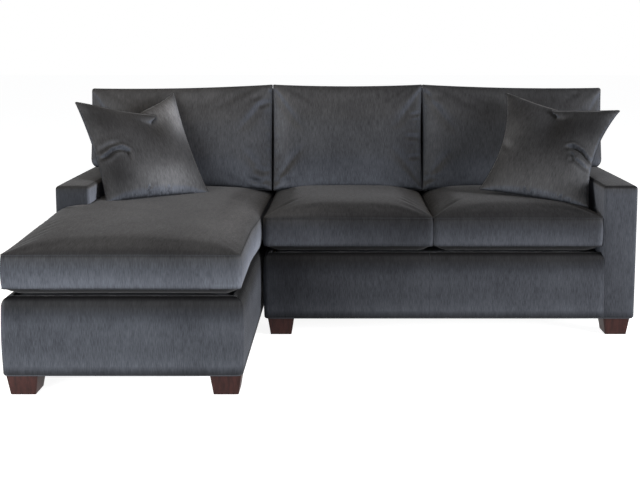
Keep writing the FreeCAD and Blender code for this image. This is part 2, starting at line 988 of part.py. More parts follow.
def pillow_corners():
    half = pillow_size / 2
    draw, turned = pillow_draw, pillow_corner
    return [(-half, -half, turned, draw), (half, -half, turned, draw),
            (half, half, turned, 0), (pillow_chop_offset, half - pillow_chop, inner_corner, 0),
            (-half, half, turned, draw)]


def pillow_levels():
    """Inset and height from the seam of each level, from the back to the front."""
    rising = [(pillow_crown_inset * run, pillow_crown * rise) for rise, run in crown_shares]
    return [(inset, -height) for inset, height in rising[::-1]] + [(0, 0)] + rising


def pillow_filling_levels(gap):
    high = pillow_crown - gap
    seam = pillow_seam_wall + gap - casing_wall
    return [(pillow_crown_inset + gap, -high), (seam, 0), (pillow_crown_inset + gap, high)]


def throw_pillow(x, before_back, angles, supports):
    """Casing and filling of a chopped pillow, lowered on to what carries it."""
    turn, lean, roll = angles
    casing, hollow, filling = stuffed(pillow_corners(), pillow_bend, pillow_levels(),
                                      pillow_filling_levels, flat_level)
    middle = vec(x, well_back - before_back, back_height)
    stand = FreeCAD.Rotation(vec(0, 0, 1), turn)
    tilt = FreeCAD.Rotation(vec(1, 0, 0), 90 - lean)
    spin = FreeCAD.Rotation(vec(0, 0, 1), roll)
    placing = FreeCAD.Placement(middle, stand * tilt * spin).toMatrix()
    cover, core = casing.cut(hollow).transformed(placing), filling.transformed(placing)
    fall = drop_on(cover, supports)
    return [piece.translated(vec(0, 0, -fall)) for piece in (cover, core)]


def drop_on(piece, supports):
    """How far a piece can fall before it lies one clearance off a support."""
    fallen = 0
    for _ in range(settle_rounds):
        low = piece.translated(vec(0, 0, -fallen))
        gap = min(low.distToShape(support)[0] for support in supports)
        fallen += gap - clearance
    return fallen


# Build every node and write one file for each

def section_nodes(section):
    """All the nodes of one section, apart from its connector."""
    name = section.name
    builders = (base_rails, stretchers, corner_blocks, arm_frame, back_frame, seat_springs,
                spring_clips, back_webbing, deck_pad, deck_cover, base_cover, arm_cover,
                back_cover, bottom_welt, dust_cover, foot_bolts, foot_glides)
    nodes = {name + "_" + builder.__name__: builder(section) for builder in builders}
    for corner, (x, y) in foot_centres(section).items():
        nodes[name + "_foot_" + corner] = foot(x, y)
    return nodes


def cushion_nodes(arms):
    """The loose cushions and pillows: a cover and a core for each."""
    middle_left, middle_right = seat_middle - clearance / 2, seat_middle + clearance / 2
    arm_right = loveseat.arm_inner - clearance
    pairs = {
        "chaise_seat": seat_cushion(left_side, chaise_right, chaise_front,
                                    chaise.arm_inner + clearance),
        "centre_seat": seat_cushion(loveseat_left, middle_left, arm_front, None),
        "right_seat": seat_cushion(middle_right, arm_right, arm_front, None),
        "left_back": back_cushion(left_side, chaise_right, -1),
        "centre_back": back_cushion(loveseat_left, middle_left, 0),
        "right_back": back_cushion(middle_right, right_side, 1),
    }
    pairs["left_pillow"] = throw_pillow(
        chaise.arm_inner + left_pillow_from_arm, left_pillow_before_back, left_pillow_angles,
        [pairs["chaise_seat"][0], arms["chaise_arm_cover"][0]])
    pairs["right_pillow"] = throw_pillow(
        loveseat.arm_inner - right_pillow_from_arm, right_pillow_before_back, right_pillow_angles,
        [pairs["right_seat"][0], arms["loveseat_arm_cover"][0]])
    nodes = {}
    for name, (cover, core) in pairs.items():
        nodes[name + "_cover"] = [cover]
        nodes[name + "_core"] = [core]
    return nodes


def main():
    nodes = {}
    for section in (chaise, loveseat):
        nodes.update(section_nodes(section))
    nodes["chaise_connector"] = chaise_connector()
    nodes["loveseat_connector"] = loveseat_connector()
    nodes.update(cushion_nodes(nodes))
    os.makedirs("parts", exist_ok=True)
    for name, solids in nodes.items():
        shape = solids[0] if len(solids) == 1 else Part.makeCompound(solids)
        shape.exportStep("parts/" + name + ".step")
    print(len(nodes), "nodes written")


main()
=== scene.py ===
import json
import math

import bpy
import numpy as np
from mathutils import Matrix, Vector
from mathutils.geometry import delaunay_2d_cdt

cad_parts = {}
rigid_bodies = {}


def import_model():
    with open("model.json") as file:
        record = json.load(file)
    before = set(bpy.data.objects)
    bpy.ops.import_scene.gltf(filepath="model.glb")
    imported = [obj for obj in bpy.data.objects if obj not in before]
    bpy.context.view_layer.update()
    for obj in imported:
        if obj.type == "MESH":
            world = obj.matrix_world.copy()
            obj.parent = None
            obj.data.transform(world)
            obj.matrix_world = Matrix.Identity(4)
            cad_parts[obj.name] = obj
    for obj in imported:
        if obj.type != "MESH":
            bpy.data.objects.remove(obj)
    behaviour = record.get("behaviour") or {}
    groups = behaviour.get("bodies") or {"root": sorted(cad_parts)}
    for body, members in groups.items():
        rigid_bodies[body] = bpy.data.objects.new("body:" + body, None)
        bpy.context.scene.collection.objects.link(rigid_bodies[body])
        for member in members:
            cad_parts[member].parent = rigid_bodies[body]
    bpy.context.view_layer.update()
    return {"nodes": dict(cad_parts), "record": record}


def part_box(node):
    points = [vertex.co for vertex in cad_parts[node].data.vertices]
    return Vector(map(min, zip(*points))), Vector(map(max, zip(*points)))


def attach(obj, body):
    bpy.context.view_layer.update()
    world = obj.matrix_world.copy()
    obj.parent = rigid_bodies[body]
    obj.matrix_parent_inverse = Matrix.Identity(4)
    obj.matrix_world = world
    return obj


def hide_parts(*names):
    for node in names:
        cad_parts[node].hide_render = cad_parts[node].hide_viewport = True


bl_info = {
    "name": "Sectional Sofa",
    "version": (1, 0, 0),
    "blender": (4, 5, 0),
    "location": "3D View > Sidebar > Sofa",
    "description": "Upholsters a two-section sofa over its packed frame",
    "category": "Add Mesh",
}

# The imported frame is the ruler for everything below. Lengths are metres
for start_object in list(bpy.data.objects):
    bpy.data.objects.remove(start_object)
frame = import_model()

MM = 1 / 1000
LEAN = math.radians(7.2)
CLEAR = 0.3 * MM
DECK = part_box("chaise_seat_cover")[0].z
CHAISE_LOW, CHAISE_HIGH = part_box("chaise_base_cover")
LOVE_LOW, LOVE_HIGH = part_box("loveseat_base_cover")
ARM_LOW, ARM_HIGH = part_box("loveseat_arm_cover")
LEFT_ARM_LOW, LEFT_ARM_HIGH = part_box("chaise_arm_cover")
BACK_LOW, BACK_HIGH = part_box("loveseat_back_cover")
WELL_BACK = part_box("chaise_seat_cover")[1].y + 5 * MM
ARM_FRONT, PANEL_BOTTOM, ARM_TOP = ARM_LOW.y, ARM_LOW.z, ARM_HIGH.z
# The chaise's sides are drawn in a little where the cloth is pulled tight
CHAISE_PULL, BASE_PULL, CHAISE_TUCK = 12 * MM, 8 * MM, 5 * MM
# The base's padded edge stands a little over its deck, and the cushions rest level with
# it on the deck's crown, so that they slide out over the edge
BASE_TOP = SEAT_REST = DECK + 8 * MM
# Where the upright seam between two widths of cloth runs down the loveseat's front
FRONT_SEAM_X = 0.337
WORLD_TURN = np.eye(3)
SECTIONS = ("chaise", "loveseat")
# The finishes named more than once
VELVET, BEECH, ZINC = "Cut velvet", "Espresso stained beech", "Zinc plated steel"
WELT, ROW = "Welt along a path", "Row along a path"
# A sewn seam's ridge has few sides, and is painted with shade, darker than the cloth beside it
SEAM_SIDES, SEAM_PAINTED_SHADE = 6, 0.7


# Sizes and colours that a user would change

def linear(hex_text):
    """A sRGB hex colour as linear red, green, blue and alpha."""
    parts = [int(hex_text[i:i + 2], 16) / 255 for i in (0, 2, 4)]
    curve = [p / 12.92 if p <= 0.04045 else ((p + 0.055) / 1.055) ** 2.4 for p in parts]
    return (*curve, 1.0)


def length(millimetres, description):
    return bpy.props.FloatProperty(default=millimetres * MM, description=description,
                                   min=0, max=1, unit="LENGTH", subtype="DISTANCE")


def amount(value, description, unit="POWER"):
    return bpy.props.FloatProperty(default=value, description=description, unit=unit)


def colour(hex_text, description):
    return bpy.props.FloatVectorProperty(default=linear(hex_text), description=description,
                                         size=4, min=0, max=1, subtype="COLOR")


class SofaFabricSettings(bpy.types.PropertyGroup):
    velvet_deep: colour("252629", "Colour of the pile seen into its depth")
    velvet_pale: colour("424448", "Colour of the pile where it lies over")
    streak_width: length(2.8, "Width of one light or dark streak of the pile")
    streak_length: length(26, "Length of one streak along the pile")
    seam_radius: length(1.2, "Half the thickness of a sewn seam's ridge")


class SofaSeatSettings(bpy.types.PropertyGroup):
    cell: length(11, "Distance between the points of a cushion's cloth")
    seam_low: length(38, "Height of the low seam above the deck")
    boxing: length(114, "Height of the boxing between the two seams")
    crown: length(47, "Rise of the top over its seam before it is blown up")
    outer_lift: length(20, "Extra rise along the chaise's outer side")
    undercut: length(64, "How far in from its seam the underside rests")
    bulge: length(5, "How far the boxing stands out between its seams")
    blow_cap: length(5, "Furthest that the cloth may move when blown up")


class SofaBackSettings(bpy.types.PropertyGroup):
    cell: length(10, "Distance between the points of a cushion's cloth")
    top: length(998, "Height of the front seam's upper corners")
    front_seam: length(225, "Front seam's distance from the inside back")
    rear_seam: length(26, "Rear seam's distance from the inside back")
    top_thinning: length(55, "How far the rear comes forward at the top")
    shoulder: length(18, "How near its seam the front rises")
    top_drop: length(52, "How far the rear's top edge lies under the front's")
    crown: length(38, "Rise of the front over its seam before it is blown up")
    blow_cap: length(16, "Furthest that the cloth may move when blown up")


class SofaPillowSettings(bpy.types.PropertyGroup):
    cell: length(7.5, "Distance between the points of a pillow's cloth")
    size: length(500, "Side of the square that a pillow is cut to")
    crown: length(58, "Rise of each side over the seam before it is blown up")
    blow_cap: length(30, "Furthest that the cloth may move when blown up")


class SofaBodySettings(bpy.types.PropertyGroup):
    edge_round: length(12, "Radius of the padded edges of arms and back")
    base_round: length(28, "Radius of the base's top front edge")
    corner_round: length(18, "Radius of the base's upright corners")
    panel_bulge: length(4, "How far a padded panel stands proud")
    welt_radius: length(3, "Half the thickness of the bottom welt")
    stain: colour("2e1613", "Colour of the feet's stained wood")


class SofaStageSettings(bpy.types.PropertyGroup):
    lens: amount(54.157, "Focal length of the camera", "CAMERA")
    left: amount(126.0, "Power of the soft light at the left front")
    right: amount(650.0, "Power of the soft light at the right front")
    top: amount(55.0, "Power of the warm light overhead")
    world: amount(0.16, "Strength of the even light from all round", "NONE")


# Flat outlines and panels

def smooth_step(value):
    value = np.clip(value, 0, 1)
    return value * value * (3 - 2 * value)


def unit(flat):
    return flat / np.hypot(*flat)


def quarter_round(here, back, ahead, radius, turns):
    """Points round a corner whose edges run back and ahead from it."""
    middle = here + (back + ahead) * radius
    return [middle - radius * (math.cos(angle) * ahead + math.sin(angle) * back)
            for angle in (math.pi / 2 * turn / turns for turn in range(turns + 1))]


def outline(corners, step):
    """Points round an outline. Corners are (a, b, round, draw), anticlockwise."""
    points = []
    for index, (a, b, radius, draw) in enumerate(corners):
        here = np.array((a, b))
        following = corners[(index + 1) % len(corners)]
        after = np.array(following[:2]) - here
        back, ahead = unit(np.array(corners[index - 1][:2]) - here), unit(after)
        turns = max(int(radius * 1.6 / step), 2)
        points += quarter_round(here, back, ahead, radius, turns) if radius else [here]
        start, end = here + ahead * radius, here + after - ahead * following[2]
        pieces = max(int(round(np.hypot(*(end - start)) / step)), 1)
        inward = np.array((-ahead[1], ahead[0]))
        for share in (piece / pieces for piece in range(1, pieces)):
            points.append(start + (end - start) * share
                          + inward * draw * math.sin(math.pi * share) ** 0.8)
    return np.array(points)


def at_height(flat, z):
    return np.column_stack((flat, np.broadcast_to(z, len(flat))))


def inside(points, ring):
    """Whether each point is inside a ring."""
    x, y = points[:, :1], points[:, 1:]
    x0, y0 = ring.T
    x1, y1 = np.roll(x0, -1), np.roll(y0, -1)
    with np.errstate(divide="ignore", invalid="ignore"):
        at = (x1 - x0) * (y - y0) / (y1 - y0) + x0
    return np.sum(((y0 > y) != (y1 > y)) & (x < at), axis=1) % 2 == 1


def nearest_gap(points, ring):
    """Distance from each point to the nearest point of the ring."""
    gaps = np.full(len(points), np.inf)
    for corner in ring:
        gaps = np.minimum(gaps, np.hypot(*(points - corner).T))
    return gaps


def fill_panel(ring, step):
    """Points and triangles of a flat panel. Its first points are the ring."""
    low, high = ring.min(0), ring.max(0)
    rows = np.arange(low[1] + step * math.sqrt(3) / 2, high[1], step * math.sqrt(3) / 2)
    grid = np.array([(x + (index % 2) * step / 2, y) for index, y in enumerate(rows)
                     for x in np.arange(low[0] + step / 2, high[0], step)])
    grid = grid[inside(grid, ring)]
    # Points that would crowd the ring are left out
    points = np.vstack((ring, grid[nearest_gap(grid, ring) > step * 0.62]))
    found = delaunay_2d_cdt([Vector(p) for p in points], [], [list(range(len(ring)))], 1, 1e-7)
    flat = np.array([tuple(v) for v in found[0]])
    return flat, np.array([face for face in found[2] if len(face) == 3])


def dome(flat, faces, pinned):
    """Height of an evenly blown-up skin: 0 where it is pinned and 1 at its top."""
    total = len(flat)
    starts, ends, weights = [], [], []
    area = np.zeros(total)
    for k in range(3):
        i, j, o = faces[:, k], faces[:, (k + 1) % 3], faces[:, (k + 2) % 3]
        a, b = flat[i] - flat[o], flat[j] - flat[o]
        cross = np.abs(a[:, 0] * b[:, 1] - a[:, 1] * b[:, 0]) + 1e-9
        starts.append(i)
        ends.append(j)
        weights.append(np.sum(a * b, axis=1) / cross / 2)
        area += np.bincount(i, cross / 6, total)
    i, j, w = np.concatenate(starts), np.concatenate(ends), np.concatenate(weights)
    diagonal = np.bincount(i, w, total) + np.bincount(j, w, total)
    free = 1.0 - pinned
    # Conjugate gradients on the panel's own net of triangles
    height = np.zeros(total)
    rest = area * free
    move = rest.copy()
    size = rest @ rest
    stop = size * 1e-9
    for _ in range(2000):
        pushed = (diagonal * move - np.bincount(i, w * move[j], total)
                  - np.bincount(j, w * move[i], total)) * free
        stride = size / (move @ pushed)
        height += stride * move
        rest -= stride * pushed
        new_size = rest @ rest
        if new_size < stop:
            break
        move = rest + new_size / size * move
        size = new_size
    return np.clip(height / height.max(), 0, 1)


# Pieces

def read(items, field, width=3, kind=float):
    """One field of all items of a mesh, as rows."""
    values = np.empty(len(items) * width, kind)
    items.foreach_get(field, values)
    return values.reshape(-1, width) if width > 1 else values


def points_of(piece):
    return read(piece.data.vertices, "co")


def normals_of(piece):
    return read(piece.data.vertex_normals, "vector")


def move_points(piece, points):
    piece.data.vertices.foreach_set("co", np.ascontiguousarray(points, dtype=np.float32).ravel())
    piece.data.update()


def to_world(local, turn, origin):
    return local @ turn.T + np.array(origin)


def lay_nap(mesh, turn):
    """A UV map in metres whose v runs along the pile, by the way each face looks."""
    normals = np.abs(read(mesh.polygons, "normal") @ turn)
    sizes = read(mesh.polygons, "loop_total", 1, int)
    place = (read(mesh.vertices, "co") @ turn)[read(mesh.loops, "vertex_index", 1, int)]
    side = np.repeat(normals[:, 0] > np.maximum(normals[:, 1], normals[:, 2]), sizes)
    flat = np.repeat(normals[:, 2] > normals[:, 1], sizes)
    u = np.where(side, place[:, 1], place[:, 0])
    v = np.where(side | ~flat, place[:, 2], place[:, 1])
    layer = mesh.uv_layers.get("nap") or mesh.uv_layers.new(name="nap")
    layer.data.foreach_set("uv", np.stack((u, v), axis=1).ravel())


# Painted light and shade by how far the cloth faces up, from -1 under to 1 on top: pale where
# the cloth turns under, deep where it slopes back, and darkest in the shade right underneath
PAINTED_SHADE_TILTS = (-1.0, -0.9, -0.78, -0.55, -0.3, -0.12, 0.0, 0.2, 0.44, 0.7, 0.9, 0.97, 1.0)
PAINTED_SHADE_LEVELS = (0.10, 0.16, 0.5, 1.25, 1.42, 1.2, 1.03, 0.8, 0.58, 0.45, 0.46, 0.54, 0.62)


def paint_shade_by_facing(piece, up=(0, 0, 1), shade=1.0):
    """Store painted light and shade at each point, by the way that the cloth faces."""
    tilt = normals_of(piece) @ (np.array(up) / np.linalg.norm(up))
    level = np.interp(tilt, PAINTED_SHADE_TILTS, PAINTED_SHADE_LEVELS) * shade
    layers = piece.data.attributes
    layer = layers.get("nap_level") or layers.new("nap_level", "FLOAT", "POINT")
    layer.data.foreach_set("value", np.ascontiguousarray(level, dtype=np.float32))


def paint_light_spots(across, up, painted_spots):
    """Painted light and shade: soft spots painted paler or deeper.

    Each spot is its place across and up, its reach across and up, and how pale it is painted.
    """
    shade = np.ones(len(across))
    for right, rise, wide, tall, pale in painted_spots:
        spot = np.exp(-((across - right) / wide) ** 2 - ((up - rise) / tall) ** 2)
        shade *= 1 + (pale - 1) * spot
    return shade


def new_piece(name, points, faces, finish=VELVET, turn=WORLD_TURN):
    """A smooth mesh object whose place is in its mesh."""
    mesh = bpy.data.meshes.new(name)
    mesh.from_pydata([tuple(p) for p in points], [], [tuple(int(i) for i in f) for f in faces])
    mesh.validate()
    mesh.shade_smooth()
    mesh.materials.append(bpy.data.materials[finish])
    lay_nap(mesh, turn)
    piece = bpy.data.objects.new(name, mesh)
    bpy.context.scene.collection.objects.link(piece)
    # Every piece starts with painted light and shade by the way it faces
    paint_shade_by_facing(piece)
    return piece


def place_piece(piece, body, slot, *nodes, fill=None):
    """Put a piece on its body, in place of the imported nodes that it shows."""
    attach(piece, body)
    if nodes:
        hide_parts(*nodes)


def two_sides(front, back):
    """The faces of a skin's front and, turned over, of its back."""
    return [tuple(f) for f in front] + [tuple(f[::-1]) for f in back]


def boxed_form(corners, low, high, step, bulge, top_rise, bottom_rise, loose=None):
    """A boxed cushion: bottom panel, boxing and top panel, sewn at two rings.

    The rises turn a panel's dome shares, distances from the seam and places into heights.
    Where loose says so, the top seam rides up with the panel instead of holding it down.
    Returns the points, the faces, and the rows that the top and bottom seams follow.
    """
    ring = outline(corners, step)
    flat, triangles = fill_panel(ring, step)
    count, edge = len(flat), len(ring)
    pinned = np.arange(count) < edge
    if loose:
        pinned[:edge] &= ~loose(ring)
    share, inset = dome(flat, triangles, pinned), nearest_gap(flat, ring)
    rows = max(int((high - low) / step), 3)
    ahead = np.roll(ring, -1, 0) - np.roll(ring, 1, 0)
    outward = np.stack((ahead[:, 1], -ahead[:, 0]), 1) / np.hypot(*ahead.T)[:, None]
    points = [at_height(flat, high + top_rise(share, inset, flat))]
    seam_height = points[0][:edge, 2]
    for t in (row / rows for row in range(1, rows)):
        wall = ring + outward * bulge * math.sin(math.pi * t) ** 0.8
        points.append(at_height(wall, seam_height + (low - seam_height) * t))
    bottom = count + edge * (rows - 1)
    points.append(at_height(flat, low - bottom_rise(share, inset, flat)))
    faces = two_sides(triangles, triangles + bottom)
    starts = [0] + [count + edge * row for row in range(rows)]
    for upper, lower in zip(starts, starts[1:]):
        faces += [(upper + i, lower + i, lower + (i + 1) % edge, upper + (i + 1) % edge)
                  for i in range(edge)]
    return np.vstack(points), faces, np.arange(edge), np.arange(edge) + bottom


# A stout cloth that keeps its width and bends softly
CLOTH = {"quality": 5, "mass": 0.4, "tension_stiffness": 12.0, "compression_stiffness": 12.0,
         "shear_stiffness": 4.0, "bending_stiffness": 0.6, "air_damping": 2.0,
         "use_pressure": True, "pin_stiffness": 1.0}


def blow_up(piece, cap, held, pressure, frames):
    """Blow the cloth up for a few frames and keep each point's move under the cap."""
    start = points_of(piece)
    cloth = piece.modifiers.new("Cloth", "CLOTH")
    for name, value in CLOTH.items():
        setattr(cloth.settings, name, value)
    cloth.settings.uniform_pressure_force = pressure
    cloth.settings.effector_weights.gravity = 0.0
    cloth.collision_settings.use_collision = False
    cloth.point_cache.frame_start, cloth.point_cache.frame_end = 1, frames
    group = piece.vertex_groups.new(name="held")
    group.add([int(i) for i in np.flatnonzero(held)], 1.0, "REPLACE")
    cloth.settings.vertex_group_mass = group.name
    scene = bpy.context.scene
    for number in range(1, frames + 1):
        scene.frame_set(number)
    blown = piece.evaluated_get(bpy.context.evaluated_depsgraph_get())
    move = read(blown.data.vertices, "co") - start
    piece.modifiers.remove(cloth)
    piece.vertex_groups.clear()
    scene.frame_set(1)
    reach = np.linalg.norm(move, axis=1)
    limit = cap * np.tanh(reach / cap)
    move_points(piece, start + move * (limit / np.maximum(reach, 1e-9))[:, None])


def path_gap(flat, path):
    """Distance from flat points to a broken line, and the share of its length there."""
    path = np.array(path, float)
    best = np.full(len(flat), np.inf)
    along = np.zeros(len(flat))
    spans = np.hypot(*(path[1:] - path[:-1]).T)
    total, run = spans.sum(), 0.0
    for start, end, span in zip(path, path[1:], spans):
        t = np.clip((flat - start) @ (end - start) / span ** 2, 0, 1)
        gap = np.hypot(*(flat - start - t[:, None] * (end - start)).T)
        along = np.where(gap < best, (run + t * span) / total, along)
        best = np.minimum(gap, best)
        run += span
    return best, along


def fold(local, facing, path, width, depth, ridge=0.3):
    """Press a soft valley into the front along a path, with a low ridge each side."""
    gap, along = path_gap(local[:, :2], path)
    fade = smooth_step(along / 0.25) * smooth_step((1 - along) / 0.35)
    shape = ridge * np.exp(-((gap - 1.7 * width) / width) ** 2) - np.exp(-(gap / width) ** 2)
    local[:, 2] += shape * depth * fade * np.clip(facing, 0, 1)


# Node trees for what follows a path or repeats along it

def feed(tree, node, inputs):
    """Give a node's sockets plain values or the outputs of other nodes."""
    for name, value in inputs.items():
        if isinstance(value, bpy.types.NodeSocket):
            tree.links.new(value, node.inputs[name])
        else:
            node.inputs[name].default_value = value


def add_node(tree, kind, inputs=None, out=0, **fields):
    """Add a node, set its fields, feed its sockets and return one of its outputs."""
    node = tree.nodes.new(kind)
    for name, value in fields.items():
        setattr(node, name, value)
    feed(tree, node, inputs or {})
    return node.outputs[out] if len(node.outputs) else None


def grow_tree(name, inputs, grow):
    """A geometry tree that grows something on paths, made real and given its finish."""
    tree = bpy.data.node_groups.new(name, "GeometryNodeTree")
    tree.interface.new_socket("Geometry", in_out="OUTPUT", socket_type="NodeSocketGeometry")
    for label, kind, default in (("Geometry", "Geometry", None), *inputs,
                                 ("Finish", "Material", None)):
        socket = tree.interface.new_socket(label, in_out="INPUT",
                                           socket_type="NodeSocket" + kind)
        if default is not None:
            socket.default_value = default
    given = tree.nodes.new("NodeGroupInput").outputs
    line = add_node(tree, "GeometryNodeMeshToCurve", {"Mesh": given["Geometry"]})
    whole = add_node(tree, "GeometryNodeRealizeInstances", {"Geometry": grow(tree, given, line)})
    finished = add_node(tree, "GeometryNodeSetMaterial",
                        {"Geometry": whole, "Material": given["Finish"]})
    add_node(tree, "NodeGroupOutput", {"Geometry": finished})


def sweep_welt(tree, given, line):
    """A round welt swept along each path."""
    ring = add_node(tree, "GeometryNodeCurvePrimitiveCircle",
                    {"Radius": given["Radius"], "Resolution": given["Sides"]}, mode="RADIUS")
    return add_node(tree, "GeometryNodeCurveToMesh",
                    {"Curve": line, "Profile Curve": ring, "Fill Caps": True})


def repeat_part(tree, given, line):
    """Small parts set at even steps along each path, turned to follow it."""
    stops = add_node(tree, "GeometryNodeCurveToPoints",
                     {"Curve": line, "Length": given["Spacing"]}, mode="LENGTH")
    part = add_node(tree, "GeometryNodeObjectInfo", {"Object": given["Part"]}, "Geometry")
    turn = add_node(tree, "FunctionNodeAlignEulerToVector",
                    {"Vector": stops.node.outputs["Tangent"]}, axis="X", pivot_axis="Z")
    return add_node(tree, "GeometryNodeInstanceOnPoints",
                    {"Points": stops, "Instance": part, "Rotation": turn})


def grown_piece(name, paths, tree_name, inputs, finish=VELVET, closed=True, turn=WORLD_TURN,
                shade=1.0):
    """Run a geometry tree on bare edges along paths and keep its result as a plain mesh."""
    points, edges = [], []
    for path in paths:
        start, count = len(points), len(path)
        points += [tuple(p) for p in path]
        edges += [(start + i, start + (i + 1) % count)
                  for i in range(count if closed else count - 1)]
    mesh = bpy.data.meshes.new(name + "_path")
    mesh.from_pydata(points, edges, [])
    piece = bpy.data.objects.new(name, mesh)
    bpy.context.scene.collection.objects.link(piece)
    modifier = piece.modifiers.new("Grow", "NODES")
    modifier.node_group = bpy.data.node_groups[tree_name]
    inputs = {**inputs, "Finish": bpy.data.materials[finish]}
    for socket in modifier.node_group.interface.items_tree:
        if socket.in_out == "INPUT" and socket.name in inputs:
            modifier[socket.identifier] = inputs[socket.name]
    bpy.context.view_layer.update()
    grown = piece.evaluated_get(bpy.context.evaluated_depsgraph_get())
    mesh = bpy.data.meshes.new_from_object(grown)
    piece.modifiers.remove(modifier)
    piece.data = mesh
    mesh.name = name
    mesh.shade_smooth()
    lay_nap(mesh, turn)
    # Painted light and shade by facing, scaled by the given shade
    paint_shade_by_facing(piece, shade=shade)
    return piece


# Finishes

def new_finish(name):
    material = bpy.data.materials.new(name)
    material.use_nodes = True
    tree = material.node_tree
    return tree, tree.nodes["Principled BSDF"]


def object_place(tree):
    return add_node(tree, "ShaderNodeTexCoord", out="Object")


def stretched(tree, vector, *scale):
    return add_node(tree, "ShaderNodeMapping", {"Vector": vector, "Scale": scale})


def noise(tree, vector, scale, detail=2.0, roughness=0.5):
    return add_node(tree, "ShaderNodeTexNoise", {"Vector": vector, "Scale": scale,
                                                 "Detail": detail, "Roughness": roughness})


def blend(tree, factor, first, second):
    """Mix two colours, each a value or an output, by a factor output."""
    return add_node(tree, "ShaderNodeMix", {0: factor, 6: first, 7: second}, 2, data_type="RGBA")


def spread(tree, value, low, high, to_low=0.0, to_high=1.0):
    return add_node(tree, "ShaderNodeMapRange", {
        "Value": value, "From Min": low, "From Max": high, "To Min": to_low, "To Max": to_high})


def calculate(tree, operation, *values):
    return add_node(tree, "ShaderNodeMath", dict(enumerate(values)), operation=operation)


def bump(tree, height, distance, strength):
    return add_node(tree, "ShaderNodeBump",
                    {"Height": height, "Distance": distance, "Strength": strength})


def velvet_finish(fabric):
    # Cut cotton velvet with a short pile: matt and dark looked straight into, paler at
    # grazing angles, with fine streaks where rows of pile lean different ways
    tree, shader = new_finish(VELVET)
    nap = add_node(tree, "ShaderNodeUVMap", uv_map="nap")
    wide, long = 1 / fabric.streak_width, 1 / fabric.streak_length
    streaks = spread(tree, noise(tree, stretched(tree, nap, wide, long, 1), 1.0, 3.0, 0.62),
                     0.33, 0.67)
    bands = spread(tree, noise(tree, stretched(tree, nap, 0.2 * wide, 0.35 * long, 1), 1.0),
                   0.3, 0.7)
    patches = spread(tree, noise(tree, object_place(tree), 5.5, 2.0, 0.45), 0.3, 0.7)
    total = 0.0
    for layer, weight in ((streaks, 0.52), (bands, 0.22), (patches, 0.26)):
        total = calculate(tree, "MULTIPLY_ADD", layer, weight, total)
    pile = blend(tree, total, tuple(fabric.velvet_deep), tuple(fabric.velvet_pale))
    # Painted light: cloth facing up is tinted warmer and cloth facing sideways or down cooler, as
    # under a warm light overhead
    normal = add_node(tree, "ShaderNodeNewGeometry", out="Normal")
    facing = add_node(tree, "ShaderNodeSeparateXYZ", {"Vector": normal}, "Z")
    painted_light_tint = blend(tree, spread(tree, facing, 0.03, 0.2), (0.98, 1.0, 1.05, 1.0),
                 (1.04, 1.0, 0.94, 1.0))
    painted_light_pile = add_node(tree, "ShaderNodeVectorMath", {0: pile, 1: painted_light_tint}, operation="MULTIPLY")
    # Each piece's stored painted light and shade scales the pile's colour
    level = add_node(tree, "ShaderNodeAttribute", out="Fac", attribute_name="nap_level")
    # The pile itself is finer than a pixel, so its grain is drawn at 1.5 mm
    grain = noise(tree, nap, 650.0, 2.0, 0.7)
    height = calculate(tree, "MULTIPLY_ADD", grain, 0.5, streaks)
    feed(tree, shader, {
        "Base Color": add_node(tree, "ShaderNodeVectorMath", {0: painted_light_pile, "Scale": level},
                               operation="SCALE"),
        "Roughness": spread(tree, total, 0, 1, 0.95, 0.72), "Specular IOR Level": 0.07,
        "Sheen Weight": 0.12, "Sheen Roughness": 0.3, "Sheen Tint": linear("c8c8ca"),
        "Normal": bump(tree, height, 0.5 * MM, 0.35)})


def cloth_finish(name, deep, pale, thread, roughness):
    # Plain woven cloth: over and under threads at an even pitch, with a dry matt look
    tree, shader = new_finish(name)
    place = object_place(tree)
    # At this scale the wave texture draws one band for each thread
    across, along = (add_node(tree, "ShaderNodeTexWave",
                              {"Vector": place, "Scale": 0.314 / thread, "Distortion": 0.4},
                              "Fac", wave_type="BANDS", bands_direction=way) for way in "XY")
    weave = calculate(tree, "MULTIPLY", across, along)
    both = calculate(tree, "MULTIPLY_ADD", weave, 0.6, noise(tree, place, 9.0, 3.0))
    feed(tree, shader, {
        "Base Color": blend(tree, spread(tree, both, 0.3, 1.1), linear(deep), linear(pale)),
        "Roughness": roughness, "Specular IOR Level": 0.2,
        "Normal": bump(tree, weave, 0.3 * MM, 0.4)})


def wood_finish(name, deep, pale, grain_width, roughness, gloss, along):
    # Hardwood: long dark pores along the grain under broader year rings
    tree, shader = new_finish(name)
    scale = [(0.06 if way == along else 1) / grain_width for way in "XYZ"]
    grain = stretched(tree, object_place(tree), *scale)
    pores = spread(tree, noise(tree, grain, 1.0, 4.0, 0.65), 0.3, 0.7)
    rings = spread(tree, noise(tree, grain, 0.22, 2.0), 0.3, 0.7)
    both = calculate(tree, "MULTIPLY_ADD", pores, 0.6, rings)
    feed(tree, shader, {
        "Base Color": blend(tree, spread(tree, both, 0.2, 1.4), deep, pale),
        "Roughness": spread(tree, pores, 0, 1, roughness + 0.08, roughness),
        "Specular IOR Level": 0.14, "Coat Weight": gloss, "Coat Roughness": 0.25,
        "Normal": bump(tree, pores, 0.15 * MM, 0.3)})


def metal_finish(name, hex_text, metallic, roughness, grain):
    # Drawn or rolled steel, plated or powder coated, with a fine mottle from handling
    tree, shader = new_finish(name)
    mottle = noise(tree, object_place(tree), grain, 4.0)
    deep = linear(hex_text)
    pale = (*(min(c * 1.35, 1.0) for c in deep[:3]), 1.0)
    feed(tree, shader, {
        "Base Color": blend(tree, mottle, deep, pale), "Metallic": metallic,
        "Roughness": spread(tree, mottle, 0.3, 0.7, roughness - 0.08, roughness + 0.08),
        "Normal": bump(tree, mottle, 0.1 * MM, 0.15)})


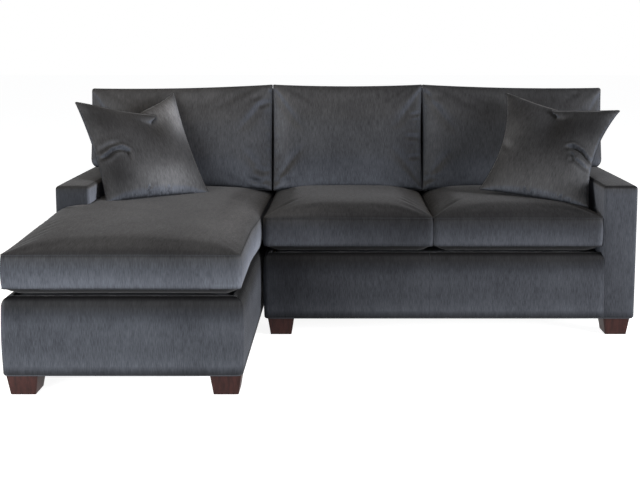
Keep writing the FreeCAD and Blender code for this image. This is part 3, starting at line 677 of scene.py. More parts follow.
def padding_finish(name, deep, pale):
    # Pressed fibre felt and foam: pale, lumpy and quite matt
    tree, shader = new_finish(name)
    fibres = noise(tree, object_place(tree), 160.0, 5.0, 0.7)
    feed(tree, shader, {"Base Color": blend(tree, fibres, linear(deep), linear(pale)),
                        "Roughness": 0.95, "Normal": bump(tree, fibres, 0.8 * MM, 0.5)})


class SOFA_OT_finishes(bpy.types.Operator):
    """Make the velvet, cloths, woods and metals"""
    bl_idname = "sofa.finishes"
    bl_label = "Finishes"

    def execute(self, context):
        velvet_finish(context.scene.sofa_fabric)
        cloth_finish("Deck cloth", "1b1c1e", "303236", 1.6 * MM, 0.9)
        cloth_finish("Spun-bonded bottom cloth", "0b0b0c", "1a1a1b", 1.2 * MM, 0.85)
        cloth_finish("Elastic webbing", "151515", "2c2c2c", 2.4 * MM, 0.8)
        stain = tuple(context.scene.sofa_body.stain)
        deep = (*(c * 0.35 for c in stain[:3]), 1.0)
        wood_finish(BEECH, deep, stain, 2.2 * MM, 0.5, 0.04, "Z")
        wood_finish("Sawn hardwood", linear("8a6844"), linear("c9a273"), 3.5 * MM, 0.75, 0.0, "X")
        metal_finish("Black coated spring wire", "1b1b1d", 0.0, 0.42, 60.0)
        metal_finish(ZINC, "b9bcc0", 1.0, 0.34, 90.0)
        metal_finish("Powder coated steel", "161618", 0.0, 0.5, 220.0)
        metal_finish("Moulded nylon", "bdb9ae", 0.0, 0.55, 120.0)
        padding_finish("Felt and foam padding", "b9b19f", "e2dccd")
        return {"FINISHED"}


FRAME_FINISHES = {
    "frame_timber": "Sawn hardwood", "stained_wood": BEECH,
    "spring_steel": "Black coated spring wire", "bolt_steel": ZINC,
    "connector_steel": "Powder coated steel", "glide": "Moulded nylon",
    "webbing": "Elastic webbing", "padding": "Felt and foam padding",
    "filling": "Felt and foam padding", "deck_cloth": "Deck cloth",
    "bottom_cloth": "Spun-bonded bottom cloth", "velvet": VELVET,
}


class SOFA_OT_frame_parts(bpy.types.Operator):
    """Give the frame, springs, bolts and connectors their finishes"""
    bl_idname = "sofa.frame_parts"
    bl_label = "Frame parts"

    def execute(self, context):
        for subpart in frame["record"]["subparts"]:
            finish = bpy.data.materials[FRAME_FINISHES[subpart["material_slot"]]]
            for slot in frame["nodes"][subpart["node"]].material_slots:
                slot.material = finish
        return {"FINISHED"}


# Seat cushions

def seat_corners(node):
    """Plan of a seat cushion from its packed cover, wrapped round the arm on the chaise."""
    low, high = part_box(node)
    soft, draw = 14 * MM, 6 * MM
    front = [(low.x, low.y, soft, draw), (high.x, low.y, soft, draw), (high.x, high.y, soft, 0)]
    if node != "chaise_seat_cover":
        return front + [(low.x, high.y, soft, draw)]
    notch, step = LEFT_ARM_HIGH.x + CLEAR, ARM_FRONT - CLEAR
    return front + [(notch, high.y, soft, 0), (notch, step, 13 * MM, 0),
                    (low.x, step, soft, draw)]


# Over what length and width the chaise's cushion fills out along its outer side, and over
# what length its sides are drawn in
SEAT_PUFF_AHEAD, SEAT_PUFF_BESIDE, SEAT_PULL_AHEAD = 0.45, 0.3, 0.3
# How light each seat cushion's boxing is painted, and spots of painted light and shade by place
# across and in
SEAT_BOXING_PAINTED_LIGHT = {"chaise_seat": 1.06, "centre_seat": 0.60, "right_seat": 0.86}
SEAT_PAINTED_SPOTS = {
    "chaise_seat": ((-0.42, -0.35, 0.10, 0.40, 2.0),),
    "centre_seat": ((0.0, 0.30, 0.50, 0.40, 0.70), (-0.20, -0.150, 0.22, 0.06, 2.2)),
    "right_seat": ((0.70, 0.40, 0.40, 0.22, 0.8),),
}


def seat_shade(name, points, across, low, high):
    """Painted shade along the top of the boxing, over the front of the top and under the low seam,
    painted light on sides facing right, and painted spots.
    """
    right, rear, up = points.T
    on_box = (1 - 0.4 * smooth_step((up - low) / (high - low))) * SEAT_BOXING_PAINTED_LIGHT[name]
    on_top = 1 - 0.32 * np.exp(-((rear - rear.min()) / (90 * MM)) ** 2)
    over = smooth_step((up - high) / (5 * MM))
    under = 1 - 0.92 * smooth_step((low + 2 * MM - up) / (7 * MM))
    beside = 1 + 0.8 * np.clip(across, 0, 1)
    return (on_box + (on_top - on_box) * over) * under * beside \
        * paint_light_spots(right, rear, SEAT_PAINTED_SPOTS[name])


def beside_arm(ring):
    """Where the chaise cushion swells up against the arm that it wraps round."""
    return (ring[:, 0] < LEFT_ARM_HIGH.x + 14 * MM) & (ring[:, 1] > ARM_FRONT - 14 * MM) \
        & (ring[:, 0] > LEFT_ARM_LOW.x + 20 * MM)


def make_seat(name, sizes):
    """One boxed seat cushion, blown up over its flat underside."""
    low, high = DECK + sizes.seam_low, DECK + sizes.seam_low + sizes.boxing
    long = name == "chaise_seat"

    def top_rise(share, inset, flat):
        # The long cushion is filled fuller along its outer side
        ahead = smooth_step((flat[:, 1] - CHAISE_LOW.y) / SEAT_PUFF_AHEAD)
        beside = 1 - smooth_step((flat[:, 0] - CHAISE_LOW.x) / SEAT_PUFF_BESIDE)
        return sizes.crown * (1 - (1 - share) ** 2.2) ** 0.48 \
            + long * sizes.outer_lift * ahead * beside

    def bottom_rise(share, inset, flat):
        return (low - SEAT_REST) * smooth_step(inset / sizes.undercut) ** 0.8

    points, faces, top_seam, low_seam = boxed_form(
        seat_corners(name + "_cover"), low, high, sizes.cell, sizes.bulge, top_rise, bottom_rise,
        beside_arm if long else None)
    if long:
        ahead = smooth_step((ARM_FRONT - points[:, 1]) / SEAT_PULL_AHEAD)
        across = (points[:, 0] - CHAISE_LOW.x) / (CHAISE_HIGH.x - CHAISE_LOW.x)
        points[:, 0] += ahead * (1.6 * CHAISE_TUCK * (1 - across) - CHAISE_PULL * across)
    piece = new_piece(name, points, faces)
    held = points[:, 2] < SEAT_REST + 4 * MM
    held[top_seam] = held[low_seam] = True
    blow_up(piece, sizes.blow_cap, held, pressure=3.0, frames=14)
    points = points_of(piece)
    points[:, 2] = np.maximum(points[:, 2], SEAT_REST + CLEAR)
    move_points(piece, points)
    # Painted light and shade by facing, boxing height, side and spot
    paint_shade_by_facing(piece, shade=seat_shade(name, points, normals_of(piece)[:, 0], low, high))
    return piece, [points[top_seam], points[low_seam]], WORLD_TURN


def make_cushions(scene, make, group, fill, names):
    """Make loose cushions, put each in place of its cover and filling, and sew its seams."""
    cushions = [make(name, getattr(scene, group)) for name in names]
    for name, (piece, rings, turn) in zip(names, cushions):
        place_piece(piece, name, "velvet", name + "_cover", name + "_core", fill=fill)
        ridge = grown_piece(name + "_seams", rings, WELT,
                            {"Radius": scene.sofa_fabric.seam_radius, "Sides": SEAM_SIDES},
                            turn=turn, shade=SEAM_PAINTED_SHADE)
        place_piece(ridge, name, "velvet")
    return {"FINISHED"}


class SOFA_OT_seat_cushions(bpy.types.Operator):
    """Make the long chaise cushion and the two seat cushions"""
    bl_idname = "sofa.seat_cushions"
    bl_label = "Seat cushions"

    def execute(self, context):
        return make_cushions(context.scene, make_seat, "sofa_seats", 0.8, tuple(SEAT_PAINTED_SPOTS))


# Back cushions. Across is +X, up runs along the leaning back, and out is square to it

BACK_TURN = np.array(((1, 0, 0), (0, math.sin(LEAN), -math.cos(LEAN)),
                      (0, math.cos(LEAN), math.sin(LEAN))))
BACK_ORIGIN = (0, WELL_BACK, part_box("chaise_deck_cover")[1].z)


def nap_axes(turn):
    """The nap's axes of a turned cushion, as across, in and up."""
    return np.column_stack((turn[:, 0], -turn[:, 2], turn[:, 1]))


def up_slope(height, out=0.0):
    """How far up the leaning back a height lies, for a place this far out from the back."""
    return (height - BACK_ORIGIN[2] - out * math.sin(LEAN)) / math.cos(LEAN)


def wing_foot(out):
    """How far up the slope a wing clears the arm's top."""
    return up_slope(ARM_TOP + 1.5 * MM, out)


def back_corners(name, foot, top):
    low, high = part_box(name + "_cover")
    soft, draw, rise, proud, sag, meet = 4 * MM, 8 * MM, 17 * MM, 8 * MM, 8 * MM, 3 * MM
    if name == "centre_back":
        return [(low.x, foot, soft, rise), (high.x, foot, soft, draw),
                (high.x, top, soft, sag), (low.x - meet, top, soft, 3 * MM)]
    wing = wing_foot(0)
    if name == "left_back":
        inner = LEFT_ARM_HIGH.x + CLEAR
        return [(inner, foot, 20 * MM, rise), (high.x, foot, soft, 3 * MM),
                (high.x + meet, top, soft, sag), (low.x - proud, top - 18 * MM, 9 * MM, 2 * MM),
                (low.x - proud, wing, 34 * MM, 0), (inner, wing, 12 * MM, 0)]
    inner = ARM_LOW.x - CLEAR
    return [(low.x, foot, soft, rise), (inner, foot, 20 * MM, 0),
            (inner, wing, 12 * MM, 0), (high.x + proud, wing, 34 * MM, 3 * MM),
            (high.x + proud, top - 15 * MM, 9 * MM, sag), (low.x, top, soft, draw)]


# Folds of the back cushions: a path in metres across and up the slope, width, depth
BACK_FOLDS = {
    "left_back": [
        ([(-0.352, 0.628), (-0.388, 0.590), (-0.440, 0.560)], 0.012, 0.007),
        ([(-0.350, 0.560), (-0.380, 0.545), (-0.420, 0.540)], 0.010, 0.005),
        ([(-0.352, 0.196), (-0.400, 0.190), (-0.470, 0.206)], 0.011, 0.007),
        ([(-0.352, 0.236), (-0.385, 0.240), (-0.430, 0.252)], 0.010, 0.005)],
    "centre_back": [
        ([(0.347, 0.512), (0.320, 0.500), (0.285, 0.496)], 0.007, 0.006),
        ([(0.347, 0.470), (0.325, 0.476), (0.300, 0.474)], 0.006, 0.003),
        ([(0.347, 0.382), (0.318, 0.396), (0.268, 0.398)], 0.009, 0.006),
        ([(0.347, 0.302), (0.316, 0.306), (0.276, 0.300)], 0.008, 0.006),
        ([(-0.332, 0.180), (-0.290, 0.194), (-0.235, 0.200)], 0.013, 0.005)],
    "right_back": [
        ([(0.355, 0.188), (0.400, 0.206), (0.450, 0.214)], 0.012, 0.006),
        ([(0.352, 0.612), (0.400, 0.586), (0.450, 0.578)], 0.014, 0.005),
        ([(0.900, 0.640), (0.935, 0.596), (0.960, 0.560)], 0.012, 0.007),
        ([(1.010, 0.636), (1.040, 0.600), (1.080, 0.580)], 0.012, 0.006)],
}
# Spots of painted light and shade on the back cushions, by place across and up the slope
BACK_PAINTED_SPOTS = {
    "left_back": ((-0.60, 0.35, 0.50, 0.30, 0.80), (-0.40, 0.10, 0.30, 0.08, 1.45),
                  (-0.36, 0.40, 0.05, 0.30, 0.80), (-0.75, 0.60, 0.40, 0.06, 1.35)),
    "centre_back": ((0.05, 0.38, 0.40, 0.26, 0.72), (-0.31, 0.40, 0.05, 0.26, 1.70),
                    (0.30, 0.40, 0.09, 0.40, 0.62), (0.0, 0.12, 0.32, 0.08, 2.0),
                    (0.0, 0.60, 0.32, 0.06, 1.35)),
    "right_back": ((0.70, 0.36, 0.60, 0.30, 0.58), (0.38, 0.36, 0.05, 0.24, 1.35),
                   (0.55, 0.12, 0.25, 0.07, 1.35), (0.70, 0.62, 0.60, 0.06, 1.15)),
}


# How far from its edge or end each shaping of a back cushion fades out
WING_EDGE, REAR_FADE, WING_FADE, FOOT_FADE, TOP_FADE = (n * MM for n in (12, 60, 120, 150, 170))


def make_back(name, sizes):
    """One boxed back cushion, with a wing over the arm on the outer two."""
    foot = up_slope(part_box(name + "_cover")[0].z - 12 * MM, sizes.front_seam)
    top = up_slope(sizes.top, sizes.front_seam)

    def front_rise(share, inset, flat):
        edge = 1 - np.exp(-inset / sizes.shoulder)
        return sizes.crown * (0.3 * edge + 0.7 * (1 - (1 - share) ** 2) ** 0.6)

    def rear_rise(share, inset, flat):
        return sizes.rear_seam * smooth_step(inset / REAR_FADE)

    points, faces, front_seam, rear_seam = boxed_form(
        back_corners(name, foot, top), sizes.rear_seam, sizes.front_seam, sizes.cell, 3 * MM,
        front_rise, rear_rise)
    across, up, out = points.T
    out_share = np.clip(out / sizes.front_seam, 0, 1)
    past_arm = np.maximum(LEFT_ARM_HIGH.x - across, across - ARM_LOW.x)
    over_arm = smooth_step((past_arm + WING_EDGE) / (2 * WING_EDGE))
    # A wing's underside lies level on the arm, and the foot level on the seat
    fade = 1 - smooth_step((up - wing_foot(0)) / WING_FADE)
    up -= (wing_foot(0) - wing_foot(out)) * over_arm * fade
    level = 1 - smooth_step((up - foot) / FOOT_FADE)
    up += (sizes.front_seam - out) * math.tan(LEAN) * level
    near_top = smooth_step((up - top + TOP_FADE) / TOP_FADE)
    up -= sizes.top_drop * near_top * (1 - out_share) ** 0.7
    out += sizes.top_thinning * smooth_step((up - foot) / (top - foot)) * (1 - out_share)
    nap = nap_axes(BACK_TURN)
    piece = new_piece(name, to_world(points, BACK_TURN, BACK_ORIGIN), faces, turn=nap)
    held = np.zeros(len(points), bool)
    held[front_seam] = held[rear_seam] = True
    blow_up(piece, sizes.blow_cap, held, pressure=3.2, frames=16)
    local = (points_of(piece) - np.array(BACK_ORIGIN)) @ BACK_TURN
    facing = (normals_of(piece) @ BACK_TURN)[:, 2]
    for crease in BACK_FOLDS[name]:
        fold(local, facing, *crease)
    local[:, 2] = np.maximum(local[:, 2], CLEAR)
    world = to_world(local, BACK_TURN, BACK_ORIGIN)
    move_points(piece, world)
    # Painted light and shade by facing and by spot
    paint_shade_by_facing(piece, nap[:, 2], paint_light_spots(local[:, 0], local[:, 1], BACK_PAINTED_SPOTS[name]))
    return piece, [world[front_seam], world[rear_seam]], nap


class SOFA_OT_back_cushions(bpy.types.Operator):
    """Make the three loose back cushions"""
    bl_idname = "sofa.back_cushions"
    bl_label = "Back cushions"

    def execute(self, context):
        return make_cushions(context.scene, make_back, "sofa_backs", 0.6, tuple(BACK_PAINTED_SPOTS))


# Throw pillows

# For each pillow: its turn, lean and roll in degrees, where the chop sits across it and
# how deep it is, which lobe lies in front, how far its bottom, right, top and left edges
# pull in and its corners move, in millimetres, its folds as path, width and depth, its
# gathers as place, length and slant, and its spots of painted light and shade
PILLOWS = {
    "left_pillow": {
        "angles": (38.0, 33.0, 0.5), "chop_at": 0.075, "chop": 0.112, "front": 1,
        "draw": (5, 16, 3, 16), "ears": ((22, 3), (-4, -10), (-13, 4), (7, -20)),
        "folds": [([(-0.240, -0.052), (-0.200, -0.044), (-0.165, -0.022), (-0.130, -0.018),
                    (-0.104, -0.036), (-0.106, -0.090)], 0.009, 0.020),
                  ([(-0.235, -0.015), (-0.180, 0.004), (-0.120, 0.010)], 0.012, 0.007)],
        "gathers": ((-0.150, 18, 4), (-0.118, 30, -6), (-0.060, 62, 12), (-0.050, 34, 5),
                    (0.012, 26, -5), (0.036, 48, 10), (0.052, 24, 0), (0.094, 18, 5),
                    (0.118, 26, -4), (0.156, 15, 4), (0.182, 20, 2)),
        "painted_spots": ((0.205, 0.120, 0.050, 0.090, 5.2), (0.15, 0.20, 0.07, 0.05, 2.2),
                  (-0.175, -0.125, 0.070, 0.100, 0.33), (-0.17, 0.15, 0.09, 0.08, 0.50),
                  (0.07, -0.16, 0.14, 0.06, 2.4), (0.0, 0.10, 0.10, 0.10, 0.85))},
    "right_pillow": {
        "angles": (-23.0, 36.0, -5.0), "chop_at": 0.004, "chop": 0.056, "front": -1,
        "draw": (5, 44, 4, 48), "ears": ((23, 1), (-3, -11), (37, -30), (20, 5)),
        "folds": [([(0.082, -0.006), (0.120, 0.008), (0.160, -0.006), (0.188, -0.032),
                    (0.226, -0.056)], 0.009, 0.022),
                  ([(0.122, -0.042), (0.162, -0.062), (0.210, -0.088)], 0.009, 0.013),
                  ([(0.112, -0.022), (0.132, -0.038), (0.126, -0.070)], 0.007, 0.009),
                  ([(-0.235, 0.000), (-0.190, -0.018), (-0.140, -0.060)], 0.016, 0.008)],
        "gathers": ((-0.150, 20, 5), (-0.030, 40, -9), (-0.012, 30, 12), (0.060, 18, 4),
                    (0.120, 36, 8), (0.165, 22, -3)),
        "painted_spots": ((0.17, 0.13, 0.09, 0.08, 0.40), (0.0, 0.08, 0.12, 0.12, 0.55),
                  (-0.16, 0.02, 0.05, 0.10, 1.7), (0.0, -0.16, 0.15, 0.06, 1.25),
                  (0.18, -0.12, 0.05, 0.09, 1.25), (0.12, -0.03, 0.04, 0.04, 0.55))},
}
SQUARE = ((-1, -1), (1, -1), (1, 1), (-1, 1))


def pillow_turn(angles):
    turn, lean, roll = (math.radians(a) for a in angles)
    stand = Matrix.Rotation(turn, 3, "Z") @ Matrix.Rotation(math.pi / 2 - lean, 3, "X")
    return np.array(stand @ Matrix.Rotation(roll, 3, "Z"))


def chop_pillow(local, half, facts):
    """Press the top edge down into a V whose lobes lap over each other."""
    across, up = local[:, 0].copy(), local[:, 1].copy()
    beside = across - facts["chop_at"]
    # The front sags a little near the bottom, and the filling is pressed thin by the V
    local[:, 1] -= 0.25 * np.maximum(local[:, 2], 0) * smooth_step((0.3 * half - up) / half)
    span = np.where(beside < 0, half + facts["chop_at"], half - facts["chop_at"])
    tent = np.clip(1 - np.sqrt(beside ** 2 + (12 * MM) ** 2) / span, 0, 1) ** 1.15
    high = smooth_step((up + 0.35 * half) / (1.3 * half))
    near = np.exp(-(beside / (60 * MM)) ** 2)
    local[:, 1] -= facts["chop"] * tent * high ** 1.4
    local[:, 2] *= 1 - 0.62 * near * high
    # The lobes swing over each other, the one in front a little lower
    lap = smooth_step((up - 0.72 * half) / (0.28 * half))
    reach = 42 * MM
    swing = beside / reach * np.exp(0.5 - (beside / reach) ** 2 / 2)
    local[:, 0] -= 66 * MM * swing * lap
    local[:, 1] -= 13 * MM * np.clip(-facts["front"] * swing, 0, 1) * lap
    local[:, 2] -= facts["front"] * 27 * MM * np.tanh(beside / (14 * MM)) \
        * np.exp(-(beside / (80 * MM)) ** 2) * lap
    for (side, level), move in zip(SQUARE, facts["ears"]):
        weight = np.clip((1 + side * across / half) * (1 + level * up / half) / 4, 0, 1)
        local[:, :2] += np.outer(weight, move) * MM


def make_pillow(name, sizes):
    """A square pillow with a knife edge, blown up and then chopped at the top."""
    facts = PILLOWS[name]
    turn = pillow_turn(facts["angles"])
    packed = points_of(frame["nodes"][name + "_cover"]) @ turn
    middle = turn @ ((packed.min(0) + packed.max(0)) / 2)
    half = sizes.size / 2
    ring = outline([(x * half, y * half, 6 * MM, draw * MM)
                    for (x, y), draw in zip(SQUARE, facts["draw"])], sizes.cell)
    flat, triangles = fill_panel(ring, sizes.cell)
    edge, count = len(ring), len(flat)
    rise = sizes.crown * dome(flat, triangles, np.arange(count) < edge) ** 0.55
    points = np.vstack((at_height(flat, rise), at_height(flat[edge:], -rise[edge:])))
    back = np.where(triangles < edge, triangles, triangles + count - edge)
    piece = new_piece(name, points, two_sides(triangles, back))
    blow_up(piece, sizes.blow_cap, np.arange(len(points)) < edge, pressure=3.5, frames=20)
    local = points_of(piece)
    facing = normals_of(piece)[:, 2]
    for crease in facts["folds"]:
        fold(local, facing, *crease)
    for place, reach, slant in facts["gathers"]:
        path = [(place, -half - 10 * MM), (place + slant * MM, reach * MM - half)]
        fold(local, 3 * facing, path, 5 * MM, 11 * MM, 0.5)
    # Spots of painted light and shade, placed on the cloth before it is chopped
    shade = paint_light_spots(local[:, 0], local[:, 1], facts["painted_spots"])
    chop_pillow(local, half, facts)
    world = to_world(local, turn, middle)
    move_points(piece, world)
    lay_nap(piece.data, nap_axes(turn))
    paint_shade_by_facing(piece, turn[:, 1] + np.array((0, 0, 1)), shade)
    return piece, [world[:edge]], nap_axes(turn)


class SOFA_OT_throw_pillows(bpy.types.Operator):
    """Make the two chopped throw pillows"""
    bl_idname = "sofa.throw_pillows"
    bl_label = "Throw pillows"

    def execute(self, context):
        return make_cushions(context.scene, make_pillow, "sofa_pillows", 0.5, tuple(PILLOWS))


# Covers of the arms, back and base

def graded(low, high, radius, step):
    """Places along an edge: close together in its rounds and even between them."""
    near = radius * np.array((0, 0.12, 0.35, 0.65))
    count = max(int((high - low - 2 * radius) / step), 2)
    return np.concatenate((low + near, np.linspace(low + radius, high - radius, count + 1),
                           high - near[::-1]))


def soft_block(low, high, radius, step, bulge):
    """A padded block with round edges whose panels stand slightly proud."""
    low, high = np.array(low), np.array(high)
    axes = [graded(low[k], high[k], radius, step) for k in range(3)]
    index, points, faces = {}, [], []

    def at(key):
        if key not in index:
            index[key] = len(points)
            points.append([axes[k][key[k]] for k in range(3)])
        return index[key]

    for axis, one, two in ((0, 1, 2), (1, 2, 0), (2, 0, 1)):
        for fixed, order in ((0, ((0, 1), (1, 1), (1, 0), (0, 0))),
                             (len(axes[axis]) - 1, ((0, 0), (1, 0), (1, 1), (0, 1)))):
            for p in range(len(axes[one]) - 1):
                for q in range(len(axes[two]) - 1):
                    keys = ({axis: fixed, one: p + dp, two: q + dq} for dp, dq in order)
                    faces.append(tuple(at((key[0], key[1], key[2])) for key in keys))
    points = np.array(points)
    share = (points - low) / (high - low)
    mound = 16 * share * (1 - share)
    outward = np.zeros_like(points)
    for axis, one, two in ((0, 1, 2), (1, 2, 0), (2, 0, 1)):
        swell = np.clip(mound[:, one] * mound[:, two] / 16, 0, 1) ** 0.5
        outward[:, axis] = np.where(points[:, axis] >= high[axis] - 1e-9, swell,
                                    np.where(points[:, axis] <= low[axis] + 1e-9, -swell, 0))
    core = np.clip(points, low + radius, high - radius)
    away = points - core
    reach = np.maximum(np.linalg.norm(away, axis=1, keepdims=True), 1e-9)
    return core + away / reach * radius + outward * bulge, faces


def back_line(z):
    """Depth of the leaning inside back at a height."""
    return WELL_BACK + (z - BACK_ORIGIN[2]) * math.tan(LEAN)


# Painted light and shade on an arm's top and front, and painted light on its inner side, by its
# side
ARM_SHADES = {-1: (1.0, 0.46, 2.2), 1: (0.2, 0.8, 0.8)}
# How far an arm's outer top stands out
ARM_FLARE = 5 * MM
# The depth that a back is first drawn with, and how far its outside leans in
BACK_DEPTH, BACK_RAKE = 190 * MM, 30 * MM


def make_arm(name, low, high, sizes):
    """A square padded arm whose rear follows the leaning back."""
    points, faces = soft_block((low.x, low.y, low.z - sizes.edge_round),
                               (high.x, WELL_BACK, high.z), sizes.edge_round, 26 * MM,
                               sizes.panel_bulge)
    share = np.clip((points[:, 1] - low.y) / (WELL_BACK - low.y), 0, 1)
    points[:, 1] += share * (back_line(points[:, 2]) - WELL_BACK)
    outer, side = (low.x, -1) if low.x < 0 else (high.x, 1)
    beside = 1 - np.clip(np.abs(points[:, 0] - outer) / (high.x - low.x), 0, 1)
    points[:, 0] += side * ARM_FLARE * beside * (points[:, 2] - low.z) / high.z
    points[:, 2] = np.maximum(points[:, 2], low.z)
    arm = new_piece(name, points, faces)
    across, rear, up = normals_of(arm).T
    on_top, on_front, on_inner = ARM_SHADES[side]
    # Painted shade on the top and front and painted light on the inner side, as listed by side
    paint_shade_by_facing(arm, shade=1 + on_inner * np.clip(-side * across, 0, 1) ** 3
              + (on_top - 1) * np.clip(up, 0, 1) ** 2 + (on_front - 1) * np.clip(-rear, 0, 1) ** 2)
    return arm


def make_back_cover(name, low, high, sizes):
    """The padded back of a section: leaning inside, raked outside."""
    points, faces = soft_block((low.x, 0, BACK_LOW.z - sizes.edge_round),
                               (high.x, BACK_DEPTH, BACK_HIGH.z), sizes.edge_round, 30 * MM,
                               sizes.panel_bulge)
    drop = np.clip((BACK_HIGH.z - points[:, 2]) / (BACK_HIGH.z - BACK_LOW.z), 0, 1)
    front = back_line(points[:, 2])
    share = points[:, 1] / BACK_DEPTH
    points[:, 1] = front + share * (BACK_HIGH.y - BACK_RAKE * drop - front)
    points[:, 2] = np.maximum(points[:, 2], BACK_LOW.z)
    return new_piece(name, points, faces)


def base_front(radius):
    """Inset and height up a base panel's front and over its round top."""
    rise = BASE_TOP - radius
    front = [(0, PANEL_BOTTOM + (rise - PANEL_BOTTOM) * i / 8) for i in range(9)]
    angles = (math.pi / 2 * turn / 6 for turn in range(1, 7))
    return front + [(radius * (1 - math.cos(a)), rise + radius * math.sin(a)) for a in angles]


def panel_swell(z):
    """How far a base panel stands proud at a height, from 0 at its edges to 1."""
    return math.sin(math.pi * (z - PANEL_BOTTOM) / (BASE_TOP - PANEL_BOTTOM))


def sweep_panel(path, profile, proud):
    """Carry a closed section along a plan path, with flat ends."""
    path = np.array(path)
    ahead = np.gradient(path, axis=0)
    inward = np.stack((-ahead[:, 1], ahead[:, 0]), 1) / np.hypot(*ahead.T)[:, None]
    rows, size = len(path), len(profile)
    points = []
    for place, way in zip(path, inward):
        # A panel runs level with the one that it is sewn to at its ends
        ends = min(np.hypot(*(place - path[0])), np.hypot(*(place - path[-1])))
        flush = proud * smooth_step(ends / (90 * MM))
        for inset, z in profile:
            out = inset or -flush * panel_swell(z)
            points.append((*(place + way * out), z))
    faces = [tuple(range(size))[::-1], tuple(range((rows - 1) * size, rows * size))]
    for row in range(rows - 1):
        for k in range(size):
            a, b = row * size + k, row * size + (k + 1) % size
            faces.append((b, b + size, a + size, a))
    return np.array(points), faces


def plan_path(stops, step):
    """Open plan path through corners with rounds: stops are (x, y, round)."""
    places = [np.array(stop[:2]) for stop in stops]
    points = [places[0]]
    for index in range(1, len(stops)):
        here, radius = places[index], stops[index][2]
        back = unit(places[index - 1] - here)
        start, end = points[-1], here + back * radius
        pieces = max(int(np.hypot(*(end - start)) / step), 1)
        points += [start + (end - start) * p / pieces for p in range(1, pieces)]
        points += quarter_round(here, back, unit(places[index + 1] - here), radius, 6) \
            if index < len(stops) - 1 else [here]
    return points


# Spots of painted light and shade on the base, by place across and up
BASE_PAINTED_SPOTS = {
    "chaise_base": ((-1.14, 0.22, 0.10, 0.30, 0.9), (-0.75, 0.20, 0.90, 0.60, 0.86)),
    "loveseat_base": ((-0.25, 0.25, 0.14, 0.20, 0.5), (0.35, 0.22, 0.90, 0.30, 0.78),
                      (0.10, 0.20, 0.22, 0.40, 0.90)),
}


def make_base(name, stops, sizes):
    """One padded base panel, bent round the section's front."""
    radius, wall = sizes.base_round, 3.6 * MM
    profile = base_front(radius) + [
        (radius + 5 * MM, BASE_TOP), (radius + 5 * MM, BASE_TOP - 2 * wall),
        (radius, BASE_TOP - 2 * wall), (wall, BASE_TOP - radius), (wall, PANEL_BOTTOM)]
    points, faces = sweep_panel(plan_path(stops, 30 * MM), profile, sizes.panel_bulge)
    base = new_piece(name, points, faces)
    across, rear, up = points.T
    # Painted shade along the top edge under the cushions' overhang, and painted light from the
    # floor near the bottom and on the side facing right
    painted_top_shade = smooth_step((up - DECK + 105 * MM) / (95 * MM))
    painted_floor_light = 0.3 * smooth_step((PANEL_BOTTOM + 90 * MM - up) / (70 * MM))
    right = np.clip(normals_of(base)[:, 0], 0, 1)
    beside = (0.5 + 1.2 * smooth_step((rear + 0.60) / 0.40)) * right
    paint_shade_by_facing(base, shade=(1 - 0.74 * painted_top_shade * (1 - 0.9 * right)) * (1 + painted_floor_light + beside)
              * paint_light_spots(across, up, BASE_PAINTED_SPOTS[name]))
    return base


class SOFA_OT_covers(bpy.types.Operator):
    """Upholster the base, arms and back of both sections"""
    bl_idname = "sofa.covers"
    bl_label = "Covers"

    def execute(self, context):
        sizes = context.scene.sofa_body
        corner, rear = sizes.corner_round, back_line(PANEL_BOTTOM)
        right = CHAISE_HIGH.x - BASE_PULL
        plans = {
            "chaise": [(CHAISE_LOW.x, ARM_FRONT - CLEAR, 0),
                       (CHAISE_LOW.x + CHAISE_TUCK, CHAISE_LOW.y, corner),
                       (right, CHAISE_LOW.y, corner), (right, rear, 0)],
            "loveseat": [(LOVE_LOW.x, rear, 0), (LOVE_LOW.x, ARM_FRONT, corner),
                         (LOVE_HIGH.x + sizes.edge_round, ARM_FRONT, 0)]}
        for section in SECTIONS:
            pieces = [make_base(section + "_base", plans[section], sizes)]
            for part, make in (("_arm", make_arm), ("_back", make_back_cover)):
                low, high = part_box(section + part + "_cover")
                pieces.append(make(section + part, low, high, sizes))
            for piece in pieces:
                place_piece(piece, section + "_section", "velvet", piece.name + "_cover",
                            fill=0.95)
        self.front_seams(sizes)
        return {"FINISHED"}

    def front_seams(self, sizes):
        """The upright seams on the loveseat's front: between two widths, and at the arm."""
        paths = []
        for x, proud in ((FRONT_SEAM_X, sizes.panel_bulge), (ARM_LOW.x + 2 * MM, 0.0)):
            paths.append([(x, ARM_FRONT + inset - proud * panel_swell(z), z)
                          for inset, z in base_front(sizes.base_round)])
        seam = grown_piece("loveseat_front_seam", paths, WELT,
                           {"Radius": 0.7 * MM, "Sides": SEAM_SIDES}, closed=False,
                           shade=SEAM_PAINTED_SHADE)
        place_piece(seam, "loveseat_section", "velvet")


def section_ring(section, inset, corner):
    """A ring this far in from the edge of a section's underside."""
    low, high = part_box(section + "_dust_cover")
    if section == "chaise":
        low, high = low + Vector((CHAISE_TUCK, 0, 0)), high - Vector((BASE_PULL, 0, 0))
    inset -= 6.3 * MM
    left, front, right, rear = low.x + inset, low.y + inset, high.x - inset, high.y - inset
    plan = ((left, front), (right, front), (right, rear), (left, rear))
    return outline([(*place, corner, 0) for place in plan], 12 * MM)


# How thick the bottom cloth is and how far it sags
BOTTOM_CLOTH, BOTTOM_SAG = 0.6 * MM, 0.4 * MM
# A staple's length, width and depth
STAPLE = (10 * MM, 1 * MM, 0.7 * MM)
# How deep the deck's sides are, and how far it rises over them
DECK_DEPTH, DECK_CROWN = 21 * MM, BASE_TOP - DECK + 2.4 * MM


